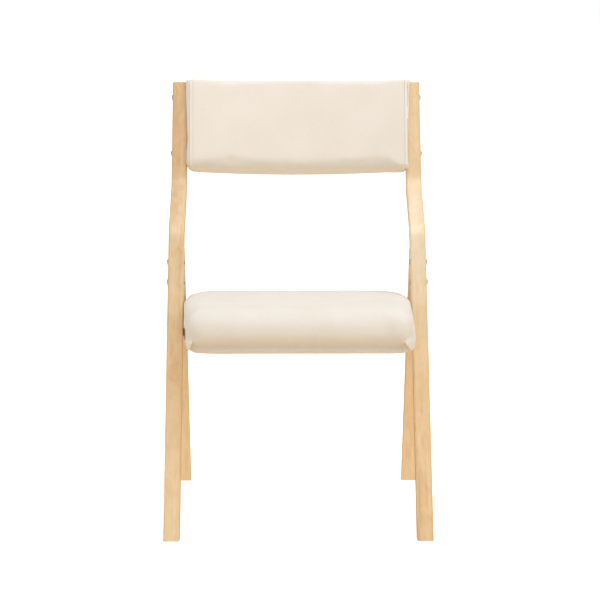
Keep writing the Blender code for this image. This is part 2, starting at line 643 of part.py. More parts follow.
def make_seat_brackets(seat, steel):
    """Angles with pivot eye and hook, their screws and the spacers; returns the screw bores."""
    stud_radius = STUD_SHOULDER / 2
    web_face = WEB_GAP + WEB_THICKNESS
    sink = WEB_THICKNESS - STUD_LAND
    eye = stud_radius + CLEARANCE
    eye_bore = [(web_face + sink, 0), (web_face + sink, eye + 2 * sink + STUD_LAND),
                (web_face - sink - STUD_LAND, eye), (0, eye), (0, 0)]
    spacer = [(CLEARANCE, eye), (CLEARANCE, SPACER_DIAMETER / 2),
              (WEB_GAP - CLEARANCE, SPACER_DIAMETER / 2), (WEB_GAP - CLEARANCE, eye)]
    radius = SEAT_SCREW_DIAMETER / 2
    tip = WEB_THICKNESS + 2 * CLEARANCE + COVER + SEAT_SCREW_BITE
    head = headed_profile(SEAT_SCREW_HEAD_DIAMETER, SEAT_SCREW_HEAD_HEIGHT, CLEARANCE)
    screw = [(-along, reach) for along, reach in head] + [(-CLEARANCE, radius), (tip, radius), (tip, 0)]
    bore = bore_profile(SEAT_SCREW_DIAMETER, -WEB_THICKNESS, tip + CLEARANCE)
    screw_bores = []
    for name, side in SIDES.items():
        bm = bmesh.new()
        plate(bm, bracket_outline(), side * WEB_INNER, side * WEB_OUTER)
        bracket = add_piece(f"seat_bracket_{name}", bm, steel, seat)
        flange = bmesh.new()
        block(flange, (side * FLANGE_INNER, -EYE_RADIUS, FLANGE_BOTTOM),
              (side * WEB_OUTER, FLANGE_REAR, FLANGE_TOP))
        combine(bracket, add_tool(f"flange_{name}", flange, seat), "UNION")
        opening = bmesh.new()
        turned(opening, eye_bore, (side * INNER_FACE, 0, 0), flip=-side)
        combine(bracket, add_tool(f"eye_bore_{name}", opening, seat))
        washer = bmesh.new()
        turned(washer, spacer, (side * INNER_FACE, 0, 0), flip=-side, closed=True)
        add_piece(f"seat_spacer_{name}", washer, steel, seat)
        bores = bmesh.new()
        for number, place in enumerate(screw_places(), start=1):
            bm = bmesh.new()
            turned(bm, screw, (side * SEAT_SCREW_X, place, FLANGE_BOTTOM), axis="Z")
            add_piece(f"seat_screw_{name}_{number}", bm, steel, seat)
            turned(bores, bore, (side * SEAT_SCREW_X, place, FLANGE_BOTTOM), axis="Z")
        screw_bores.append(add_tool(f"screw_bores_{name}", bores, seat))
        combine(bracket, screw_bores[-1])
    return screw_bores


def make_seat_pivots(chair, steel, brass):
    """Countersunk shoulder studs and the inserts that hold them in the posts."""
    web_face = WEB_GAP + WEB_THICKNESS
    shoulder, thread = STUD_SHOULDER / 2, STUD_THREAD / 2
    sink = WEB_THICKNESS - STUD_LAND
    stud = [(web_face, 0), (web_face, shoulder + sink), (web_face - sink, shoulder), (CLEARANCE, shoulder),
            (CLEARANCE, thread), (-STUD_THREAD_LENGTH, thread), (-STUD_THREAD_LENGTH, 0)]
    bore, wall = thread + CLEARANCE, STUD_INSERT_DIAMETER / 2
    far = -CLEARANCE - STUD_INSERT_LENGTH
    insert = [(-CLEARANCE, bore), (-CLEARANCE, wall), (far, wall), (far, bore)]
    for name, side in SIDES.items():
        bm = bmesh.new()
        turned(bm, stud, (side * INNER_FACE, *SEAT_PIVOT), flip=-side)
        add_piece(f"seat_pivot_stud_{name}", bm, steel, chair)
        bm = bmesh.new()
        turned(bm, insert, (side * INNER_FACE, *SEAT_PIVOT), flip=-side, closed=True)
        add_piece(f"seat_pivot_insert_{name}", bm, brass, chair)


def bow(x):
    """How far the backrest panel sits behind the posts' middle line."""
    return math.sqrt(BACK_BEND_RADIUS ** 2 - x ** 2) - BACK_BEND_RADIUS + BACK_BOW


def back_section(inset):
    """Section of the padded backrest: flat rear, rolled edges and a crowned front."""
    half = BACK_HALF_HEIGHT - inset
    rear, front = BACK_REAR - inset, inset - BACK_FRONT
    tight, roll = BACK_BOARD_ROUND + CLEARANCE + COVER - inset, BACK_ROLL - inset
    flat = half - roll
    points = arc((rear - tight, half - tight), tight, 0, QUARTER_TURN, CORNER_STEPS // 2)
    points += arc((front + roll, flat), roll, QUARTER_TURN, math.pi, CORNER_STEPS)
    for step in range(1, ROLL_STEPS):
        level = flat * (1 - 2 * step / ROLL_STEPS)
        points.append(Vector((front - BACK_CROWN * (1 - (level / flat) ** 2), level)))
    points += arc((front + roll, -flat), roll, math.pi, 3 * QUARTER_TURN, CORNER_STEPS)
    points += arc((rear - tight, tight - half), tight, 3 * QUARTER_TURN, FULL_TURN, CORNER_STEPS // 2)
    return points


def board_section():
    """Section of the bowed panel, with rounded rear edges."""
    half = BACK_HALF_HEIGHT - COVER - CLEARANCE
    rear, tight = BACK_BOARD / 2, BACK_BOARD_ROUND
    points = arc((rear - tight, half - tight), tight, 0, QUARTER_TURN, CORNER_STEPS // 2)
    points += [Vector((-rear, half)), Vector((-rear, -half))]
    return points + arc((rear - tight, tight - half), tight, 3 * QUARTER_TURN, FULL_TURN, CORNER_STEPS // 2)


def bowed_loops(section, half_length):
    """Copies of a section along the bow; half_length gives the length at each level."""
    loops = []
    for step in range(BACK_STATIONS + 1):
        share = 2 * step / BACK_STATIONS - 1
        loop = []
        for depth, level in section:
            x = share * half_length(level)
            loop.append(Vector((x, depth + bow(x), level)))
        loops.append(loop)
    return loops


def pad_half_length(inset):
    """Half length of the padded backrest at a level: it overlaps the posts more at the top."""
    def at_level(level):
        share = (level + BACK_HALF_HEIGHT) / BACKREST_HEIGHT
        overlap = BACK_OVERLAP_BOTTOM + (BACK_OVERLAP_TOP - BACK_OVERLAP_BOTTOM) * share
        return INNER_FACE + overlap - inset
    return at_level


def post_notches(chair, name, gap):
    """Spaces round the posts, bends and all, that the padded backrest stays clear of."""
    reach = BACKREST_HEIGHT
    fronts = [front + (front - rear).normalized() * gap for front, rear in post_stations()[1:]]
    fronts.append(fronts[-1] + along_strip(BACK_ANGLE) * reach)
    behind = behind_strip(BACK_ANGLE) * reach
    outline = [*fronts, fronts[-1] + behind, fronts[0] + behind]
    bm = bmesh.new()
    for side in SIDES.values():
        plate(bm, outline, side * (INNER_FACE - gap), side * FRAME_WIDTH)
    return add_tool(name, bm, chair)


def make_backrest(chair, back, plywood, foam, fabric):
    """Bowed panel, padding on its front and the fitted cover."""
    inside = COVER + CLEARANCE
    bm = bmesh.new()
    loft(bm, bowed_loops(back_section(0), pad_half_length(0)))
    cover = add_piece("backrest_cover", bm, fabric, back)
    bm = bmesh.new()
    loft(bm, bowed_loops(back_section(COVER), pad_half_length(COVER)))
    combine(cover, add_tool("cover_cavity", bm, back))
    combine(cover, post_notches(chair, "cover_notches", BACK_NOTCH_GAP))
    bm = bmesh.new()
    loft(bm, bowed_loops(back_section(inside), pad_half_length(inside)))
    padding = add_piece("backrest_foam", bm, foam, back)
    face, past = -BACK_BOARD / 2 - CLEARANCE, BACKREST_HEIGHT
    behind_face = [Vector(corner) for corner in ((face, past), (face, -past), (past, -past), (past, past))]
    bm = bmesh.new()
    loft(bm, bowed_loops(behind_face, lambda level: OUTER_FACE))
    combine(padding, add_tool("panel_space", bm, back))
    combine(padding, post_notches(chair, "foam_notches", BACK_NOTCH_GAP + CLEARANCE))
    bm = bmesh.new()
    loft(bm, bowed_loops(board_section(), lambda level: BACK_HALF_LENGTH))
    board = add_piece("backrest_board", bm, plywood, back)
    bores = bmesh.new()
    depth = BACK_INSERT_LENGTH + CLEARANCE
    insert_bore = bore_profile(BACK_INSERT_DIAMETER, -depth, depth)
    for side in SIDES.values():
        for rise in BACK_BOLT_RISES:
            turned(bores, insert_bore, (side * BACK_HALF_LENGTH, 0, rise))
    combine(board, add_tool("insert_bores", bores, back))


def make_backrest_bolts(back, steel, brass):
    """Bolts through the posts into inserts in the ends of the panel."""
    radius = BACK_BOLT_DIAMETER / 2
    tip = BACK_BOLT_SHORT - TIMBER_WIDTH - BACK_INSERT_LENGTH
    bolt = headed_profile(BACK_BOLT_HEAD_DIAMETER, BACK_BOLT_HEAD_HEIGHT, CLEARANCE)
    bolt += [(CLEARANCE, radius), (tip, radius), (tip, 0)]
    wall, bore = BACK_INSERT_DIAMETER / 2, radius + CLEARANCE
    insert = [(0, bore), (0, wall), (-BACK_INSERT_LENGTH, wall), (-BACK_INSERT_LENGTH, bore)]
    for name, side in SIDES.items():
        for level, rise in zip(LEVELS, BACK_BOLT_RISES):
            bm = bmesh.new()
            turned(bm, bolt, (side * OUTER_FACE, 0, rise), flip=side)
            add_piece(f"backrest_bolt_{name}_{level}", bm, steel, back)
            bm = bmesh.new()
            turned(bm, insert, (side * BACK_HALF_LENGTH, 0, rise), flip=side, closed=True)
            add_piece(f"backrest_insert_{name}_{level}", bm, brass, back)


def centre_on_floor(chair):
    """Shift the whole chair so that the middle of its box is above the origin."""
    bpy.context.view_layer.update()
    graph = bpy.context.evaluated_depsgraph_get()
    depths = []
    for item in bpy.data.objects:
        if item.type == "MESH" and not item.hide_render:
            shaped = item.evaluated_get(graph)
            depths += [(shaped.matrix_world @ vertex.co).y for vertex in shaped.data.vertices]
    chair.location.y -= (min(depths) + max(depths)) / 2


def main():
    clear_scene()
    birch = make_finish("birch", (0.79, 0.58, 0.36), 0.45)
    plywood = make_finish("plywood", (0.62, 0.45, 0.27), 0.6)
    steel = make_finish("steel", (0.62, 0.62, 0.60), 0.3, 1.0)
    brass = make_finish("brass", (0.72, 0.56, 0.28), 0.35, 1.0)
    foam = make_finish("foam", (0.80, 0.74, 0.55), 0.95)
    fabric = make_finish("fabric", (0.83, 0.75, 0.65), 0.9)
    chair = add_empty("chair")
    rear_frame = add_empty("rear_frame", chair, (0, *FOLD_PIN))
    seat = add_empty("seat", chair, (0, *SEAT_PIVOT))
    back = add_empty("back", chair, (0, *BACK_CENTRE), -BACK_ANGLE)
    make_posts(chair, birch)
    make_tongues(chair, steel)
    make_hinge_bolts(chair, steel)
    make_seat_pivots(chair, steel, brass)
    make_backrest(chair, back, plywood, foam, fabric)
    make_backrest_bolts(back, steel, brass)
    make_rear_legs(rear_frame, birch)
    make_fold_pins(rear_frame, steel)
    make_rear_rail(rear_frame, birch)
    screw_bores = make_seat_brackets(seat, steel)
    make_seat_pad(seat, plywood, foam, fabric, screw_bores)
    centre_on_floor(chair)


main()
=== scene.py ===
# %% [markdown]
# A folding chair of bent birch with a padded seat and backrest.
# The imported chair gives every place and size, and this script gives the chair its looks: timber that
# is rounded and grained along its bends, cushions swollen by cloth simulation, sewn seams and real
# screw heads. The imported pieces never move. A new piece either stands for one of them or sits on it.

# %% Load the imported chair
import json
import math

import bmesh
import bpy
import numpy as np
from mathutils import Matrix, Vector
from mathutils.bvhtree import BVHTree


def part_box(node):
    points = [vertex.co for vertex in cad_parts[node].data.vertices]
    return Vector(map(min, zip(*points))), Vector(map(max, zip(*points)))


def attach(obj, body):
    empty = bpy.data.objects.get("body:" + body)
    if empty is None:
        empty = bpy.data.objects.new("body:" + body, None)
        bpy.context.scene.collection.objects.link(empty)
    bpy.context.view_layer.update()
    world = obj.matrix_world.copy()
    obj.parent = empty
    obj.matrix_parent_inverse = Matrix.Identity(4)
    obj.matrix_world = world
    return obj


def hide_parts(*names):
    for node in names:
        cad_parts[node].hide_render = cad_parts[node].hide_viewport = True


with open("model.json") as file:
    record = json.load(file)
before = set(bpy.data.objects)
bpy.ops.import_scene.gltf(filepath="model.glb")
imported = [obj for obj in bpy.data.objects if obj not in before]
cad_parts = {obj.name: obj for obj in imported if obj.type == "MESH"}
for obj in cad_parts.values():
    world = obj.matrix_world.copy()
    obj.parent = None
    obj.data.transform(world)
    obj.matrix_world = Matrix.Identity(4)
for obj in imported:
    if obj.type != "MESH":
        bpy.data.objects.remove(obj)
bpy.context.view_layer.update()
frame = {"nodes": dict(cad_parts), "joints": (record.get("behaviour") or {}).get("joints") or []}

SIDES = {"left": -1, "right": 1}
JOINTS = {joint["name"]: Vector(joint["pos_m"]) for joint in frame["joints"]}
FOLD_PIN, SEAT_PIVOT = JOINTS["rear_legs_fold"], JOINTS["seat_lift"]

# %% [markdown]
# The camera comes first. The chair was photographed from the front, a little above the backrest, with a long
# lens. The lens and the place were fitted to the widths of the front and rear legs, so a pixel of the
# photograph and one of the render agree.

# %% Camera
PHOTO_PIXELS, FOCAL_PIXELS = 600, 2051
SENSOR = 36.0
CAMERA_PLACE = (-0.0325, -3.7054, 0.906)
CAMERA_PITCH, CAMERA_YAW = math.radians(7.95), math.radians(0.58)
FAR_CLIP = 300

scene = bpy.context.scene
bpy.ops.object.camera_add(location=CAMERA_PLACE, rotation=(math.pi / 2 - CAMERA_PITCH, 0, -CAMERA_YAW))
camera = bpy.context.object
camera.data.sensor_width = SENSOR
camera.data.lens = SENSOR * FOCAL_PIXELS / PHOTO_PIXELS
camera.data.clip_end = FAR_CLIP
scene.camera = camera
print("lens", round(camera.data.lens, 1), "mm")

# %% [markdown]
# Every look here is a tree of shader nodes. A few helpers add nodes and link them, so that a material
# reads as a list of steps.

# %% Node helpers


def fill(tree, socket, value):
    """Give an input a link or a value."""
    if isinstance(value, bpy.types.NodeSocket):
        tree.links.new(value, socket)
    else:
        socket.default_value = value


def add_node(tree, kind, *inputs, **settings):
    """Add a shader node, set its options and fill its inputs in order with values or links."""
    made = tree.nodes.new("ShaderNode" + kind)
    for key, value in settings.items():
        setattr(made, key, value)
    for socket, value in zip(made.inputs, inputs):
        fill(tree, socket, value)
    return made


def math_node(tree, operation, *inputs):
    """Output of one sum on numbers or links."""
    return add_node(tree, "Math", *inputs, operation=operation).outputs[0]


def ramp_node(tree, factor, stops):
    """Colour ramp through (position, colour) stops."""
    made = add_node(tree, "ValToRGB", factor)
    elements = made.color_ramp.elements
    while len(elements) < len(stops):
        elements.new(0.5)
    for element, (position, colour) in zip(elements, stops):
        element.position = position
        element.color = colour
    return made.outputs["Color"]


def new_finish(name, roughness, metallic=0.0):
    """Plain Principled material with its tree and shader."""
    made = bpy.data.materials.new(name)
    made.use_nodes = True
    bsdf = made.node_tree.nodes["Principled BSDF"]
    bsdf.inputs["Roughness"].default_value = roughness
    bsdf.inputs["Metallic"].default_value = metallic
    return made, made.node_tree, bsdf


print("node helpers ready")

# %% [markdown]
# The stage is a white studio sweep: a bright floor, a large soft light overhead with a second one before
# it that glints on the bends, weaker ones on the right and left, a low warm one for the legs, and a dome
# that is white above, a little dimmer at eye level, warm below and weaker on the left. The floor takes
# shadows but sends no light back, because the warm lower half of the dome already stands for that bounce.

# %% Stage and light
WHITE = (1.0, 1.0, 1.0, 1.0)
FLOOR_SIZE, FLOOR_GLOW, FLOOR_ROUGHNESS = 400, 0.9, 0.9
FLOOR_GREY = (0.8, 0.8, 0.8, 1)
DOME_STRENGTH, DOME_TO_RIGHT = 0.65, 0.05
# Shares of the way from straight down to straight up, each with its colour.
DOME_STOPS = (
    (0.10, (1.30, 0.96, 0.55, 1.0)),
    (0.34, (1.25, 1.01, 0.71, 1.0)),
    (0.42, (1.25, 1.01, 0.71, 1.0)),
    (0.58, (0.91, 0.91, 0.915, 1.0)),
    (0.82, WHITE),
)
# Place, target, size, spread in degrees, power and colour of each light.
SOFT_LIGHTS = {
    "overhead": ((0.7, -0.1, 2.9), (0, 0, 0.45), (2.2, 2.2), 180, 18, (1.0, 0.99, 0.975)),
    "strip": ((0.15, -0.60, 2.9), (0, 0.08, 0.55), (1.7, 0.95), 180, 14, (1.0, 0.99, 0.975)),
    "right": ((3.0, -2.5, 1.5), (0, 0, 0.45), (1.3, 1.3), 180, 6, (1.0, 0.98, 0.95)),
    "left": ((-3.0, -2.2, 1.0), (0, 0, 0.45), (1.6, 1.6), 180, 4, (1.0, 0.98, 0.95)),
    "low": ((-0.3, -2.4, 0.25), (0, 0, 0.08), (1.0, 0.3), 16, 0.27, (1.0, 0.95, 0.86)),
}

scene.world = bpy.data.worlds.new("studio_dome")
scene.world.use_nodes = True
tree = scene.world.node_tree
tree.nodes.clear()
direction = add_node(tree, "TexCoord").outputs["Generated"]
rightward, _, height = add_node(tree, "SeparateXYZ", direction).outputs
share = math_node(tree, "MULTIPLY_ADD", height, 0.5, 0.5)
strength = math_node(tree, "MULTIPLY_ADD", rightward, DOME_TO_RIGHT, DOME_STRENGTH)
dome = add_node(tree, "Background", ramp_node(tree, share, DOME_STOPS), strength)
backdrop = add_node(tree, "Background", WHITE, 1.0)
seen = add_node(tree, "LightPath").outputs["Is Camera Ray"]
both = add_node(tree, "MixShader", seen, dome.outputs[0], backdrop.outputs[0])
add_node(tree, "OutputWorld", both.outputs[0])

for name, (place, target, size, spread, power, colour) in SOFT_LIGHTS.items():
    bpy.ops.object.light_add(type="AREA", location=place)
    light = bpy.context.object
    light.name = "light_" + name
    light.rotation_euler = (Vector(target) - Vector(place)).to_track_quat("-Z", "Y").to_euler()
    light.data.shape = "RECTANGLE"
    light.data.size, light.data.size_y = size
    light.data.spread = math.radians(spread)
    light.data.energy = power
    light.data.color = colour
    light.visible_camera = False

bpy.ops.mesh.primitive_plane_add(size=FLOOR_SIZE)
floor = bpy.context.object
floor.name = "floor"
floor.visible_diffuse = False
paint, _, shader = new_finish("floor_paint", FLOOR_ROUGHNESS)
shader.inputs["Base Color"].default_value = FLOOR_GREY
shader.inputs["Emission Color"].default_value = WHITE
shader.inputs["Emission Strength"].default_value = FLOOR_GLOW
floor.data.materials.append(paint)
scene.view_settings.view_transform = "Standard"
print("stage lights", len(SOFT_LIGHTS))

# %% [markdown]
# Birch first, because the frame of the chair is mostly this one finish. The posts and legs are glued up from
# thin veneers and bent in a mould, so the wide front faces show one veneer with its flame figure and the
# sides show every layer as a fine line. Each timber piece carries an attribute called strip: across, depth
# and distance along the strip. The grain reads that attribute, so it follows the bends. A second one called
# sap says how pale the wood is there. This is partly sapwood running in and out along a board and partly
# painted light and shade, such as the darker top of the left post beside the backrest and the paler middle of
# the right post. Front and back are lacquered smooth, and the sawn sides are matt.

# %% Birch
PLY, GLUE_LINE, GLUE_WEIGHT = 0.00157, 0.08, 0.55
BIRCH_DARK = (0.70, 0.465, 0.245, 1)
BIRCH_TONES = (
    (0.18, BIRCH_DARK),
    (0.50, (0.82, 0.605, 0.36, 1)),
    (0.82, (0.87, 0.69, 0.455, 1)),
    (1.00, (0.90, 0.755, 0.545, 1)),
)
# Streaks per metre across and along the strip, then their detail and warp.
FIGURE, FLAME = (34.0, 3.2, 2.0, 0.6), (55.0, 26.0, 3.0, 1.2)
FINE_GRAIN, FLECKS = (620.0, 11.0, 5.0), (1500.0, 70.0, 2.0)
FIGURE_WEIGHT, FLAME_WEIGHT, FINE_WEIGHT, MIDDLE_TONE = 0.7, 0.75, 0.2, 0.5
RING_COUNT, RING_WEIGHT = 62.0, 0.03
PORE_LEVEL, PORE_WEIGHT = 0.66, 0.22
LAYER_CHANGE = 3.17
SIDE_NORMAL = 0.75
SAWN_ROUGHNESS, LACQUER_SMOOTHS, GRAIN_ROUGHNESS, LACQUER_SHINE = 0.56, -0.3, 0.04, 0.42
GRAIN_BUMP, BUMP_DEPTH = 0.06, 0.0004


def blend_node(tree, factor, first, second):
    """Mix two colours."""
    made = add_node(tree, "Mix", factor, data_type="RGBA")
    fill(tree, made.inputs[6], first)
    fill(tree, made.inputs[7], second)
    return made.outputs[2]


def noise_node(tree, place, scale, detail=2.0, warp=0.0):
    """Noise from 0 to 1."""
    made = add_node(tree, "TexNoise", place)
    for key, value in (("Scale", scale), ("Detail", detail), ("Distortion", warp)):
        made.inputs[key].default_value = value
    return made.outputs["Fac"]


def streaks(tree, across, depth, along, across_scale, along_scale, detail, warp=0.0):
    """Noise drawn out along the timber."""
    place = add_node(tree, "CombineXYZ", math_node(tree, "MULTIPLY", across, across_scale), depth,
                     math_node(tree, "MULTIPLY", along, along_scale)).outputs[0]
    return noise_node(tree, place, 1.0, detail, warp)


def raise_surface(tree, bsdf, height, strength, depth):
    """Let a pattern raise and sink a surface a little."""
    bump = add_node(tree, "Bump", strength, depth)
    tree.links.new(height, bump.inputs["Height"])
    tree.links.new(bump.outputs[0], bsdf.inputs["Normal"])


def make_birch():
    made, tree, bsdf = new_finish("birch_veneer", SAWN_ROUGHNESS)
    strip = add_node(tree, "Attribute", attribute_name="strip").outputs["Vector"]
    across, depth, along = add_node(tree, "SeparateXYZ", strip).outputs
    layers = math_node(tree, "DIVIDE", depth, PLY)
    layer = math_node(tree, "MULTIPLY", math_node(tree, "FLOOR", layers), LAYER_CHANGE)
    figure, flame, fine, flecks = (streaks(tree, across, layer, along, *form)
                                   for form in (FIGURE, FLAME, FINE_GRAIN, FLECKS))
    rings = math_node(tree, "SINE", math_node(tree, "MULTIPLY", figure, RING_COUNT))
    # Paleness from the sap attribute: partly sapwood, partly painted light and shade.
    tone = add_node(tree, "Attribute", attribute_name="sap").outputs["Fac"]
    tone = math_node(tree, "ADD", tone, MIDDLE_TONE)
    tone = math_node(tree, "MULTIPLY_ADD", rings, RING_WEIGHT, tone)
    for pattern, weight in ((figure, FIGURE_WEIGHT), (flame, FLAME_WEIGHT), (fine, FINE_WEIGHT)):
        centred = math_node(tree, "SUBTRACT", pattern, 0.5)
        tone = math_node(tree, "MULTIPLY_ADD", centred, weight, tone)
    colour = ramp_node(tree, tone, BIRCH_TONES)
    pores = math_node(tree, "GREATER_THAN", flecks, PORE_LEVEL)
    seam = math_node(tree, "LESS_THAN", math_node(tree, "FRACT", layers), GLUE_LINE)
    for mask, weight in ((pores, PORE_WEIGHT), (seam, GLUE_WEIGHT)):
        colour = blend_node(tree, math_node(tree, "MULTIPLY", mask, weight), colour, BIRCH_DARK)
    tree.links.new(colour, bsdf.inputs["Base Color"])
    sideways = add_node(tree, "SeparateXYZ", add_node(tree, "NewGeometry").outputs["Normal"]).outputs[0]
    face = math_node(tree, "LESS_THAN", math_node(tree, "ABSOLUTE", sideways), SIDE_NORMAL)
    polish = math_node(tree, "MULTIPLY_ADD", face, LACQUER_SMOOTHS, SAWN_ROUGHNESS)
    polish = math_node(tree, "MULTIPLY_ADD", fine, GRAIN_ROUGHNESS, polish)
    tree.links.new(polish, bsdf.inputs["Roughness"])
    tree.links.new(math_node(tree, "MULTIPLY", face, LACQUER_SHINE), bsdf.inputs["Specular IOR Level"])
    raise_surface(tree, bsdf, fine, GRAIN_BUMP, BUMP_DEPTH)
    return made


birch = make_birch()
print("birch nodes", len(birch.node_tree.nodes))

# %% [markdown]
# A few small helpers keep the modelling steps short. Operators act on whatever is selected, so each step
# first selects one object alone, and faces or edges are picked in code by where they are.

# %% Select and edit


def only(*pieces):
    """Select these objects alone, the first one active."""
    bpy.ops.object.select_all(action="DESELECT")
    for piece in pieces:
        piece.select_set(True)
    bpy.context.view_layer.objects.active = pieces[0]


def start_piece(name, primitive, scale=(1, 1, 1), place=(0, 0, 0), turn=(0, 0, 0), **settings):
    """Add a primitive at its size and place, with that place moved into its mesh."""
    bpy.ops.object.select_all(action="DESELECT")
    getattr(bpy.ops.mesh, f"primitive_{primitive}_add")(location=place, rotation=turn, **settings)
    piece = bpy.context.object
    piece.name = piece.data.name = name
    piece.scale = scale
    bpy.ops.object.transform_apply(location=True, rotation=True, scale=True)
    return piece


def edit(piece):
    """Open a piece in edit mode with nothing selected."""
    only(piece)
    bpy.ops.object.mode_set(mode="EDIT")
    bpy.ops.mesh.select_all(action="DESELECT")


def close_edit():
    bpy.ops.object.mode_set(mode="OBJECT")


def pick(piece, test, kind="faces"):
    """In edit mode, select the faces or edges that pass a test, and nothing else."""
    bpy.ops.mesh.select_mode(type={"faces": "FACE", "edges": "EDGE"}[kind])
    bpy.ops.mesh.select_all(action="DESELECT")
    mesh = bmesh.from_edit_mesh(piece.data)
    mesh.normal_update()
    found = [item for item in getattr(mesh, kind) if test(item)]
    for item in found:
        item.select_set(True)
    mesh.select_flush_mode()
    bmesh.update_edit_mesh(piece.data)
    return len(found)


def edge_middle(edge):
    return (edge.verts[0].co + edge.verts[1].co) / 2


def edge_ends(edge, axis):
    """Lower and higher end of an edge on one axis."""
    return sorted(vert.co[axis] for vert in edge.verts)


def edge_reach(edge, axis):
    """How far an edge runs along one axis."""
    low, high = edge_ends(edge, axis)
    return high - low


def bevel_edges(piece, test, width, segments):
    """In edit mode, round the edges that pass a test."""
    pick(piece, test, "edges")
    bpy.ops.mesh.bevel(offset=width, segments=segments, affect="EDGES")


def draw_out(move):
    """In edit mode, extrude what is selected."""
    bpy.ops.mesh.extrude_region_move(TRANSFORM_OT_translate={"value": move})


def saw(place, normal, **settings):
    """In edit mode, cut the whole piece along a plane."""
    bpy.ops.mesh.select_all(action="SELECT")
    bpy.ops.mesh.bisect(plane_co=place, plane_no=normal, **settings)


print("edit helpers ready")

# %% [markdown]
# Modifiers are added, set and applied in one step, so a finished piece is plain mesh. The same goes for
# its place, which ends up in the mesh too.

# %% Modifiers and place


def apply_modifier(piece, kind, **settings):
    """Add a modifier, set it and apply it."""
    only(piece)
    modifier = piece.modifiers.new(kind.lower(), kind)
    for key, value in settings.items():
        setattr(modifier, key, value)
    bpy.ops.object.modifier_apply(modifier=modifier.name)


def cut_away(piece, cutter):
    """Boolean cut by a scratch shape, which then goes."""
    apply_modifier(piece, "BOOLEAN", operation="DIFFERENCE", object=cutter, solver="EXACT")
    bpy.data.objects.remove(cutter, do_unlink=True)


def shade(piece, degrees):
    """Smooth shading, apart from edges that turn by more than this."""
    only(piece)
    bpy.ops.object.shade_smooth_by_angle(angle=math.radians(degrees))


def soften_edges(piece, width, segments=4, angle=30.0):
    """Rounded edges with shading that stays flat on the faces between them."""
    apply_modifier(piece, "BEVEL", width=width, segments=segments, limit_method="ANGLE",
                   angle_limit=math.radians(angle))
    shade(piece, 40)
    apply_modifier(piece, "WEIGHTED_NORMAL", keep_sharp=True)


def move_mesh(piece, matrix):
    """Move a piece's place into its mesh."""
    piece.matrix_world = matrix
    only(piece)
    bpy.ops.object.transform_apply(location=True, rotation=True, scale=True)


print("modifier helpers ready")

# %% [markdown]
# Shapes that are bent or padded are read out as rows of points, moved by a formula and written back. What a
# material has to know about a point is kept on the mesh as an attribute. A finished piece then gets its
# material and its body, and the imported nodes it stands for are hidden.

# %% Points and attributes


def points_of(piece):
    """All points of a mesh as rows of x, y, z."""
    found = np.zeros(len(piece.data.vertices) * 3)
    piece.data.vertices.foreach_get("co", found)
    return found.reshape(-1, 3)


def write_points(piece, points):
    piece.data.vertices.foreach_set("co", np.asarray(points, np.float32).ravel())
    piece.data.update()


def write_attribute(piece, name, rows):
    """Keep a vector or a number for every point, for a material to read."""
    rows = np.asarray(rows, np.float32)
    kind, key = ("FLOAT_VECTOR", "vector") if rows.ndim == 2 else ("FLOAT", "value")
    piece.data.attributes.new(name, kind, "POINT").data.foreach_set(key, rows.ravel())


def dress(piece, finish, body, slot, *nodes):
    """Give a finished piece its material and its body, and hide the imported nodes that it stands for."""
    piece.data.materials.clear()
    piece.data.materials.append(finish)
    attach(piece, body)
    if nodes:
        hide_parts(*nodes)
    return piece


print("point helpers ready")

# %% [markdown]
# Each post is one strip: front leg, a double bend, then back post. Its middle line runs through the seat
# pivot, which the frame gives, at three leans with an arc at each of the two corners between them.

# %% Line of a post
POST_LEAN, BEND_LEAN, BACK_LEAN = (math.radians(angle) for angle in (27.9, 57.0, 24.2))
BEND_LOW, BEND_RISE, POST_HEIGHT = 0.511, 0.070, 0.7782
BEND_RADIUS, BEND_STEPS = 0.085, 14
TIMBER_WIDTH, TIMBER_THICKNESS = 0.029, 0.022
BELOW_FLOOR = 0.03
POST_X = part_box("post_right")[1].x - TIMBER_WIDTH / 2


def along_strip(lean):
    return Vector((0, math.sin(lean), math.cos(lean)))


def behind_strip(lean):
    return Vector((0, math.cos(lean), -math.sin(lean)))


LOW_CORNER = SEAT_PIVOT + along_strip(POST_LEAN) * (BEND_LOW - SEAT_PIVOT.z) / math.cos(POST_LEAN)
HIGH_CORNER = LOW_CORNER + along_strip(BEND_LEAN) * BEND_RISE / math.cos(BEND_LEAN)
TOP_HEIGHT = POST_HEIGHT - TIMBER_THICKNESS / 2 * math.sin(BACK_LEAN)
POST_TOP = HIGH_CORNER + along_strip(BACK_LEAN) * (TOP_HEIGHT - HIGH_CORNER.z) / math.cos(BACK_LEAN)
FOOT = SEAT_PIVOT - along_strip(POST_LEAN) * (SEAT_PIVOT.z + BELOW_FLOOR) / math.cos(POST_LEAN)
BENDS = ((LOW_CORNER, POST_LEAN, BEND_LEAN), (HIGH_CORNER, BEND_LEAN, BACK_LEAN))


def bend_places(corner, before, after):
    """Where a bend starts, what it turns about and where it ends."""
    turn = after - before
    entry = corner - along_strip(before) * BEND_RADIUS * math.tan(abs(turn) / 2)
    centre = entry + behind_strip(before) * math.copysign(1, turn) * BEND_RADIUS
    return entry, centre, corner + along_strip(after) * BEND_RADIUS * math.tan(abs(turn) / 2)


def post_line():
    """Points and directions along the middle of a post, close together on the bends."""
    line = [(FOOT, along_strip(POST_LEAN))]
    for corner, before, after in BENDS:
        centre = bend_places(corner, before, after)[1]
        for step in range(BEND_STEPS + 1):
            lean = before + (after - before) * step / BEND_STEPS
            outward = behind_strip(lean) * -math.copysign(1, after - before)
            line.append((centre + outward * BEND_RADIUS, along_strip(lean)))
    return line + [(POST_TOP, along_strip(BACK_LEAN))]


